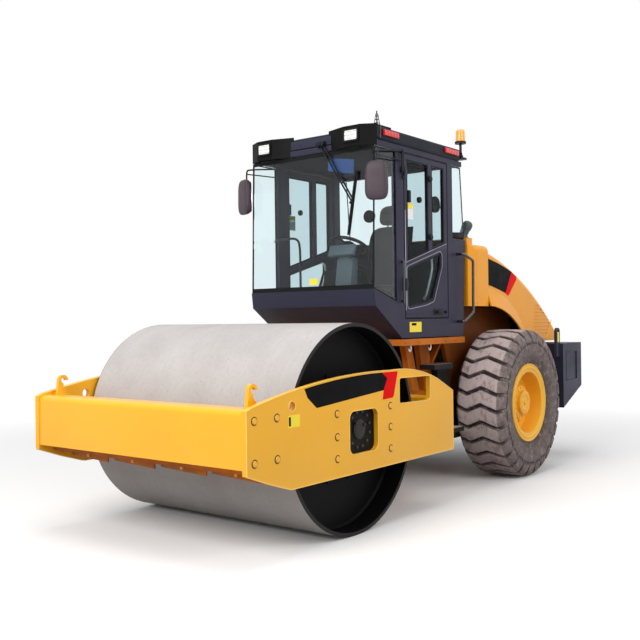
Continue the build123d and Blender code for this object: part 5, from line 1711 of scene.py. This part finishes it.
for y in (0.170, -0.170):
    levers.tube([(0.395, y * 0.5, 2.20), (0.360, y, 2.235)], 0.006)
    soft_block(levers, (0.352, y * 1.12, 2.240), (0.014, 0.022, 0.014), None, 2.2, 6)
levers.piece("control_levers", "rear_frame", black_plastic, "black_plastic")
switch = Form().box((-0.230, -0.392, 2.108), (-0.206, -0.362, 2.120), 0.003)
grow(switch.mesh("switch"), ROW, "console_switches", "rear_frame", black_plastic, "black_plastic",
     Count=6, Step=(0.040, 0.0, 0.0))
wheel_cap = Form()
WHEEL_MIDDLE = Vector((0.290, 0, 2.320))
WHEEL_TILT = Matrix.Rotation(math.radians(-25), 3, "Y")
for place, half, power, cuts in (((0, 0, 0.022), (0.062, 0.062, 0.016), 2.8, 10),
                                 ((-0.150, 0.105, 0.035), (0.024, 0.024, 0.028), 2.2, 8)):
    soft_block(wheel_cap, WHEEL_MIDDLE + WHEEL_TILT @ Vector(place), half, WHEEL_TILT, power, cuts)
wheel_cap.piece("steering_wheel_cap", "rear_frame", black_plastic, "black_plastic")
print("controls done")

# %% Linings and rails inside the cab
lining = Form()
lining.box((-0.560, -0.640, 3.148), (0.800, 0.640, 3.166), 0.006)
lining.box((-0.560, -0.300, 3.100), (-0.300, 0.300, 3.150), 0.014)
lining.plate([(-0.612, 1.500), (-0.585, 1.500), (-0.652, 2.385), (-0.680, 2.385)], -0.640, 0.640,
             0.008)
lining.box((-0.600, -0.645, 2.372), (-0.470, 0.645, 2.392), 0.008)
for _, side in SIDES:
    lining.between((-0.575, -0.370), across(side, 0.42, 0.655), (1.490, 2.120), 0.020)
lining.piece("cab_linings", "rear_frame", liner, "black_plastic")
mat = Form()
mat.box((-0.500, -0.640, 1.488), (0.455, 0.640, 1.496), 0.003)
for n in range(17):
    y = -0.600 + 0.075 * n
    mat.box((0.020, y - 0.012, 1.494), (0.450, y + 0.012, 1.500), 0.002)
mat.plate([(0.470, 1.486), (0.840, 1.742), (0.836, 1.750), (0.462, 1.494)], -0.620, 0.620, 0.002)
mat.piece("floor_mat", "rear_frame", rubber, "rubber")
pedals = Form()
for y in (-0.16, 0.16):
    pedals.plate([(0.500, 1.560), (0.512, 1.552), (0.560, 1.640), (0.548, 1.648)], y - 0.045,
                 y + 0.045, 0.004)
    pedals.tube([(0.535, y, 1.600), (0.575, y, 1.570)], 0.010)
pedals.piece("pedals", "rear_frame", black_paint, "black_steel")
inside_rails = Form()
inside_rails.tube(smooth_path([(0.780, -0.200, 1.760), (0.780, -0.200, 2.050),
                               (0.780, -0.205, 2.300), (0.770, -0.255, 2.375),
                               (0.750, -0.380, 2.388), (0.690, -0.560, 2.388),
                               (0.600, -0.655, 2.388)]), 0.011)
inside_rails.turned([(0.0, 0.024), (0.008, 0.024), (0.008, 0.0)], (0.780, -0.200, 1.748), (0, 0, 1),
                    16)
inside_rails.piece("inside_rail", "rear_frame", black_paint, "black_steel")
fan = Form()
fan.knob((-0.240, 0.640, 2.715), (0, 1, 0), -0.012, 0.078, 0.012, 0.016, 0.070, 32)
fan.knob((-0.500, -0.300, 2.700), (1, 0, 0), -0.012, 0.066, 0.012, 0.016, 0.058, 32)
fan.tube(smooth_path([(-0.480, 0.640, 2.640), (-0.360, 0.648, 2.685), (-0.240, 0.640, 2.715)]),
         0.008)
fan.piece("cab_fan", "rear_frame", black_plastic, "black_plastic")
blue_film = simple("blue_film", tone(36, 84, 150), 0.5, 0.0, 30.0, 0.0, Alpha=0.75)
shade = Form()
shade.plate([(0.150, 2.960), (0.430, 2.905), (0.440, 3.030), (0.160, 3.075)], 0.800, 0.802, 0,
            axis="X")
shade.piece("sun_blind", "rear_frame", blue_film, "glass")
print("cab inside done")

# %% [markdown]
# ## Hood
# The hood's side carries a bare decal field under the crest, and a panel of louvres that lets
# the radiator's air in. Each louvre blade is a sloped strip that hides the slot from above and
# keeps rain out. The slots have different lengths, so their ends are read off the panel's
# outline, while the tail's grille has equal bars and uses the row rule.

# %% Hood decal
HOOD_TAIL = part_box("hood")[0][0]
HOOD_HALF = 0.735
CREST_X, CREST_Z, CREST_R = -0.304, -1.701, 4.115


def crest(x):
    """Height of the hood's top line."""
    return CREST_Z + math.sqrt(CREST_R ** 2 - (x - CREST_X) ** 2)


top_edge = [(-1.125 - 0.030 * n, crest(-1.125 - 0.030 * n) - 0.094 + 0.002 * n) for n in range(20)]
hood_dark = top_edge + [(-1.553, 1.893), (-1.528, 1.886), (-1.400, 1.915), (-1.270, 1.941),
                        (-1.125, 1.968)]
hood_red = [top_edge[-1], (-1.780, 2.079)] + arc((-1.783, 2.046), 0.033, 95, 200,
                                                 6) + [(-1.628, 1.866)]
hood_red += [(-1.600, 1.853), (-1.528, 1.886), (-1.553, 1.893)]
for word, side in SIDES:
    for part, outline, material, slot in (("dark", hood_dark, decal_black, "black_plastic"),
                                          ("red", hood_red, decal_red, "red_lens")):
        field(outline, side, material, "hood_decal_%s_%s" % (part, word), "hood", slot,
              HOOD_HALF - 0.0002)
print("hood decals done")

# %% Louvres and grille
PANEL = [(HOOD_TAIL + x, z) for x, z in ((0.640, 1.770), (0.569, 1.772), (0.194, 1.594),
                                         (0.213, 1.543), (0.323, 1.402), (0.547, 1.400),
                                         (0.679, 1.438))]


def crest_x(z):
    """Where the crest comes down to a height at the tail."""
    return CREST_X - math.sqrt(CREST_R ** 2 - (z - CREST_Z) ** 2)


def reach_at(outline, z):
    """Lowest and highest x of an outline at a height."""
    crossings = []
    for (x0, z0), (x1, z1) in zip(outline, outline[1:] + outline[:1]):
        if (z0 - z) * (z1 - z) < 0:
            crossings.append(x0 + (x1 - x0) * (z - z0) / (z1 - z0))
    return (min(crossings), max(crossings)) if len(crossings) > 1 else None


BLADE_COUNT = 9
BLADE_FIRST = 1.429
BLADE_STEP = 0.040
# The hood's shoulder rounds in behind the crest line; a blade ends this far ahead of it.
SHOULDER = 0.162
blades, crease_highlight = Form(), Form()
for n in range(BLADE_COUNT):
    z = BLADE_FIRST + BLADE_STEP * n
    span = reach_at(PANEL, z)
    if not span:
        continue
    for _, side in SIDES:
        section = [(side * (HOOD_HALF - 0.0025), z - 0.0085),
                   (side * (HOOD_HALF - 0.0008), z - 0.0080),
                   (side * (HOOD_HALF - 0.0060), z + 0.0100),
                   (side * (HOOD_HALF - 0.0085), z + 0.0100)]
        blades.plate(section, max(span[0], crest_x(z) + SHOULDER) - 0.004, span[1] + 0.004, 0.0006,
                     axis="X")
# A raised strip along the louvre panel's crease, in the lighter yellow instead of the hood's own
# paint: a painted highlight along the crease.
crease = [(HOOD_TAIL + x, z)
          for x, z in ((0.170, 1.590), (0.188, 1.535), (0.305, 1.378), (0.560, 1.376),
                       (0.560, 1.386), (0.311, 1.388), (0.198, 1.540), (0.180, 1.592))]
for _, side in SIDES:
    crease_highlight.plate(crease, *across(side, HOOD_HALF - 0.001, HOOD_HALF + 0.004), 0.0015)
blades.piece("hood_louvres", "hood", hood_paint, "yellow_paint")
crease_highlight.piece("hood_crease_highlight", "hood", yellow_paint, "yellow_paint")
BAR_LOW, BAR_HIGH, BAR_COUNT = 1.539, 1.699, 5
first = crest_x(BAR_LOW) + 0.006
bar = Form().box((first, -0.482, 1.544), (first + 0.008, 0.482, 1.550), 0.001)
bar.box((first + 0.0075, -0.482, 1.530), (first + 0.011, 0.482, 1.548), 0)
bar_step = ((crest_x(BAR_HIGH) - crest_x(BAR_LOW)) / (BAR_COUNT - 1), 0.0, 0.040)
grow(bar.mesh("grille_bar"), ROW, "tail_grille", "hood", black_plastic, "black_plastic",
     Count=BAR_COUNT, Step=bar_step)
hood_bits = Form()
hood_bits.box((HOOD_TAIL - 0.012, -0.075, 1.392), (HOOD_TAIL + 0.002, 0.075, 1.432), 0.005)
grip = [(HOOD_TAIL + x, y, 1.412)
        for x, y in ((0.002, -0.055), (-0.030, -0.050), (-0.034, 0.0), (-0.030, 0.050),
                     (0.002, 0.055))]
hood_bits.tube(smooth_path(grip, 3), 0.007)
hood_bits.piece("hood_handle", "hood", black_plastic, "black_plastic")
print("louvres done")

# %% Cowl fittings
COWL_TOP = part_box("hood_cowl")[1][2]
cowl_bolts = []
for _, side in SIDES:
    cowl_bolts += [((-0.7455, side * 0.60, z), (1, 0, 0)) for z in (1.80, 2.02, 2.24)]
    cowl_bolts += [((x, side * 0.7600, 1.775), (0, side, 0)) for x in (-0.85, -1.06)]
studs(cowl_bolts, "cowl_bolts", "rear_frame", hood_paint, "yellow_paint", 0.011, 0.006)
cowl_bits = Form()
for _, side in SIDES:
    y0, y1 = across(side, 0.7595, 0.7625)
    cowl_bits.plate(rectangle(-0.852, 1.745, -0.848, 2.300), y0, y1, 0.0008)
    cowl_bits.plate(rectangle(-0.790, 1.742, -1.098, 1.752), y0, y1, 0.0008)
cowl_bits.piece("cowl_seams", "rear_frame", hood_paint, "yellow_paint")
outlet = Form()
outlet.turned([(0.0, 0.0), (0.0, 0.052), (0.010, 0.052), (0.012, 0.044), (0.040, 0.042),
               (0.040, 0.0)], (-0.815, 0.632, COWL_TOP), (0, 0, 1), 40)
for at, size, lean_by in (((-0.816, 0.648, 2.505), (0.044, 0.044, 0.062), -0.45),
                          ((-0.820, 0.668, 2.545), (0.052, 0.050, 0.060), -0.60)):
    soft_block(outlet, at, size, Matrix.Rotation(lean_by, 3, "X"), 2.5, 12)
outlet.piece("exhaust_cap", "rear_frame", exhaust_steel, "dark_steel", "exhaust_outlet")
print("cowl done")

# %% [markdown]
# ## Engine
# With the hood up the engine shows. The CAD keeps it as one plain block, because its parts stay
# shut away. Here it gets the main forms that a mechanic would name: rocker cover, inlet and
# exhaust manifolds, turbocharger, air cleaner, belt drive, and the radiator with its fan.

# %% Engine
BLOCK_TOP = 1.750
CYLINDER_COUNT = 6
CYLINDER_FIRST = -2.120
CYLINDER_STEP = 0.115
engine = Form()
engine.box((-2.180, -0.150, BLOCK_TOP - 0.005), (-1.480, 0.150, 1.830), 0.018)
for n in range(CYLINDER_COUNT):
    x = CYLINDER_FIRST + CYLINDER_STEP * n
    engine.box((x - 0.030, -0.110, 1.826), (x + 0.030, 0.110, 1.852), 0.010)
    engine.tube(smooth_path([(x, 0.150, 1.790), (x, 0.215, 1.800), (x, 0.255, 1.770)], 4), 0.024,
                12)
    engine.box((x - 0.036, -0.236, 1.745), (x + 0.036, -0.148, 1.805), 0.008)
engine.tube([(-2.165, 0.262, 1.765), (-1.500, 0.262, 1.765)], 0.036, 16)
engine.tube([(-2.165, -0.250, 1.775), (-1.490, -0.250, 1.775)], 0.040, 16)
for _, side in SIDES:
    for n in range(5):
        x = -2.20 + 0.19 * n
        engine.between((x - 0.010, x + 0.010), across(side, 0.328, 0.342), (1.06, 1.62), 0.004)
    engine.between((-2.28, -1.37), across(side, 0.328, 0.350), (1.085, 1.125), 0.006)
engine.turned([(-0.055, 0.045), (-0.045, 0.075), (-0.015, 0.088), (0.0, 0.070), (0.015, 0.060),
               (0.035, 0.086), (0.055, 0.082), (0.070, 0.050), (0.085, 0.045)],
              (-1.440, 0.262, 1.800), (1, 0, 0), 32)
engine.piece("engine_top", "rear_frame", cast_iron, "cast_iron")
engine_bolts = [((-2.150 + 0.155 * n, side * 0.132, 1.832), (0, 0, 1)) for n in range(5)
                for _, side in SIDES]
studs(engine_bolts, "engine_bolts", "rear_frame", bright_steel, "bright_steel", 0.012, 0.012)
engine_black = Form()
engine_black.turned([(-0.230, 0.060), (-0.222, 0.095), (-0.205, 0.100), (0.150, 0.100),
                     (0.165, 0.108), (0.180, 0.108), (0.190, 0.095), (0.215, 0.090),
                     (0.230, 0.040)], (-1.270, -0.150, 1.960), (0, 1, 0), 40)
engine_black.tube(smooth_path([(-1.270, 0.080, 1.960), (-1.290, 0.190, 1.950),
                               (-1.350, 0.255, 1.860), (-1.370, 0.262, 1.800)]), 0.036, 14)
engine_black.turned([(0.0, 0.105), (0.012, 0.112), (0.024, 0.096), (0.036, 0.112), (0.048, 0.105),
                     (0.048, 0.0)], (-2.300, 0, 1.350), (-1, 0, 0), 40)
engine_black.turned([(0.0, 0.060), (0.010, 0.068), (0.020, 0.055), (0.030, 0.068), (0.040, 0.060),
                     (0.040, 0.0)], (-2.300, 0.190, 1.560), (-1, 0, 0), 32)
engine_black.tube([(-2.330, 0.010, 1.240), (-2.330, 0.245, 1.520)], 0.008, 8)
engine_black.tube([(-2.330, -0.108, 1.380), (-2.330, 0.140, 1.600)], 0.008, 8)
FAN_BLADES = 7
for n in range(FAN_BLADES):
    angle = 2 * math.pi * n / FAN_BLADES
    turn = Matrix.Translation((-2.375, 0, 1.350)) @ Matrix.Rotation(angle, 4, "X")
    engine_black.solid([(0.030, -0.035, 0.050), (-0.012, 0.035, 0.050), (-0.020, 0.060, 0.270),
                        (0.035, -0.060, 0.270), (0.034, -0.034, 0.050), (-0.008, 0.036, 0.050),
                        (-0.016, 0.061, 0.270), (0.039, -0.059, 0.270)], SLAB, 0, turn)
engine_black.piece("engine_drive", "rear_frame", black_paint, "black_steel")
radiator = Form()
for y in ((-0.420, -0.385), (0.385, 0.420)):
    radiator.between((-2.530, -2.450), y, (1.000, 1.560), 0.004)
for z in ((1.555, 1.625), (0.960, 1.010)):
    radiator.between((-2.535, -2.440), (-0.420, 0.420), z, 0.012)
radiator.tube(smooth_path([(-2.450, 0.250, 1.600), (-2.380, 0.250, 1.640), (-2.280, 0.230, 1.740),
                           (-2.200, 0.150, 1.780)]), 0.026, 12)
radiator.knob((-2.487, 0.0, 1.624), (0, 0, 1), 0.0, 0.034, 0.022, 0.026, 0.028, 20)
radiator.piece("radiator_frame", "rear_frame", black_paint, "black_steel")
fin = Form().box((-2.520, -0.386, 1.014), (-2.460, 0.386, 1.018), 0)
grow(fin.mesh("fin"), ROW, "radiator_fins", "rear_frame", bright_steel, "bright_steel", Count=60,
     Step=(0.0, 0.0, 0.009))
print("cylinders:", CYLINDER_COUNT, "fan blades:", FAN_BLADES)

# %% [markdown]
# ## Frame, steps and rear weight
# The last pieces belong to the rear frame: anti-slip bars on the treads, tie-down hooks under
# the platform, the axle's cover bolts, and the weight's lamps and plates. Each is small, and
# each breaks up a face that would otherwise look like a plain block.

# %% Platform and steps
for name, count, step, x, z, reach in (("step_bars", 14, 0.0244, -0.330, 1.1895, 0.752),
                                       ("lower_step_bars", 9, 0.0250, -0.482, 0.5695, 0.782)):
    bars = Form()
    section = [(x, z), (x + 0.008, z), (x + 0.006, z + 0.0055), (x + 0.002, z + 0.0055)]
    for _, side in SIDES:
        bars.plate(section, *across(side, 0.602, reach), 0)
    grow(bars.mesh("tread_bar"), ROW, name, "rear_frame", bright_steel, "bright_steel", Count=count,
         Step=(step, 0.0, 0.0))
hooks = Form()
for x in (0.330, -0.020):
    for _, side in SIDES:
        path = [(x + dx, side * 0.705, z)
                for dx, z in ((0, 1.386), (0, 1.350), (0.012, 1.330), (0.030, 1.334),
                              (0.034, 1.352))]
        hooks.tube(smooth_path(path), 0.0065, 10)
hooks.piece("platform_hooks", "rear_frame", white_hook, "bright_steel")
deck_bolts = [((x, side * 0.7400, 1.412), (0, side, 0)) for _, side in SIDES
              for x in (0.480, 0.240, -0.060, -0.240, -0.420, -0.580)]
studs(deck_bolts, "platform_bolts", "rear_frame", shaded_frame_paint, "yellow_paint", 0.012, 0.008)
beads = Form()
for _, side in SIDES:
    weld(beads, [(-0.615, side * 0.738, 1.386), (0.528, side * 0.738, 1.386)], 0.004)
beads.piece("platform_welds", "rear_frame", shaded_frame_paint, "yellow_paint")
print("steps and hooks done")

# %% Axle
AXLE = middle("tyre_left")
axle_parts, axle_bolts = Form(), []
axle_parts.turned([(-0.215, 0.090), (-0.205, 0.130), (-0.150, 0.155), (-0.140, 0.185),
                   (-0.120, 0.185), (-0.110, 0.150)], (AXLE.x, 0, AXLE.z), (1, 0, 0), 40)
for _, side in SIDES:
    axle_parts.turned([(0.0, 0.125), (0.030, 0.125), (0.036, 0.112), (0.036, 0.10)],
                      (AXLE.x, side * 0.235, AXLE.z), (0, side, 0), 32)
    axle_parts.turned([(0.0, 0.170), (0.022, 0.170), (0.028, 0.160), (0.028, 0.10)],
                      (AXLE.x, side * 0.532, AXLE.z), (0, side, 0), 40)
    axle_bolts += [((AXLE.x + dx, side * 0.5600, AXLE.z + dz), (0, side, 0))
                   for dx, dz in circle(8, 0.148)]
axle_bolts += [((AXLE.x - 0.140, dy, AXLE.z + dz), (-1, 0, 0)) for dy, dz in circle(12, 0.170)]
axle_parts.piece("axle_covers", "rear_frame", black_paint, "black_steel")
studs(axle_bolts, "axle_bolts", "rear_frame", bright_steel, "bright_steel", 0.011, 0.009)

# %% Rear weight
weight_bits = Form()
for _, side in SIDES:
    y0, y1 = across(side, 0.9990, 1.0030)
    for line in ((-2.850, 0.895, -2.845, 1.225), (-2.535, 0.895, -2.530, 1.225),
                 (-2.850, 0.893, -2.530, 0.898), (-2.850, 1.222, -2.530, 1.227)):
        weight_bits.plate(rectangle(*line), y0, y1, 0.001)
weight_bits.piece("weight_edges", "rear_frame", slate_paint, "slate_paint")
LAMP_Y, LAMP_HALF = 0.820, 0.072
lamp_rims = Form()
for _, side in SIDES:
    inner, outer_edge = side * LAMP_Y - LAMP_HALF, side * LAMP_Y + LAMP_HALF
    frame_outline = rounded(rectangle(inner, 1.170, outer_edge, 1.250), 0.012)
    lamp_rims.plate(frame_outline, -2.9835, -2.9780, 0.001, axis="X")
lamp_rims.piece("tail_lamp_rims", "rear_frame", black_plastic, "black_plastic")
lug_labels = Form()
lug_outline = rounded(rectangle(-2.420, 1.335, -2.375, 1.450), 0.006)
for _, side in SIDES:
    lug_labels.plate(lug_outline, *across(side, 0.9645, 0.9660), 0)
lug_labels.piece("lug_labels", "rear_frame", sticker_yellow, "yellow_paint")
print("rear weight done")

# %% Sizes
size = {"cad": cad_bounds, "visual": [list(map(float, corner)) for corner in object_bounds()]}
print("visual box", size["visual"])
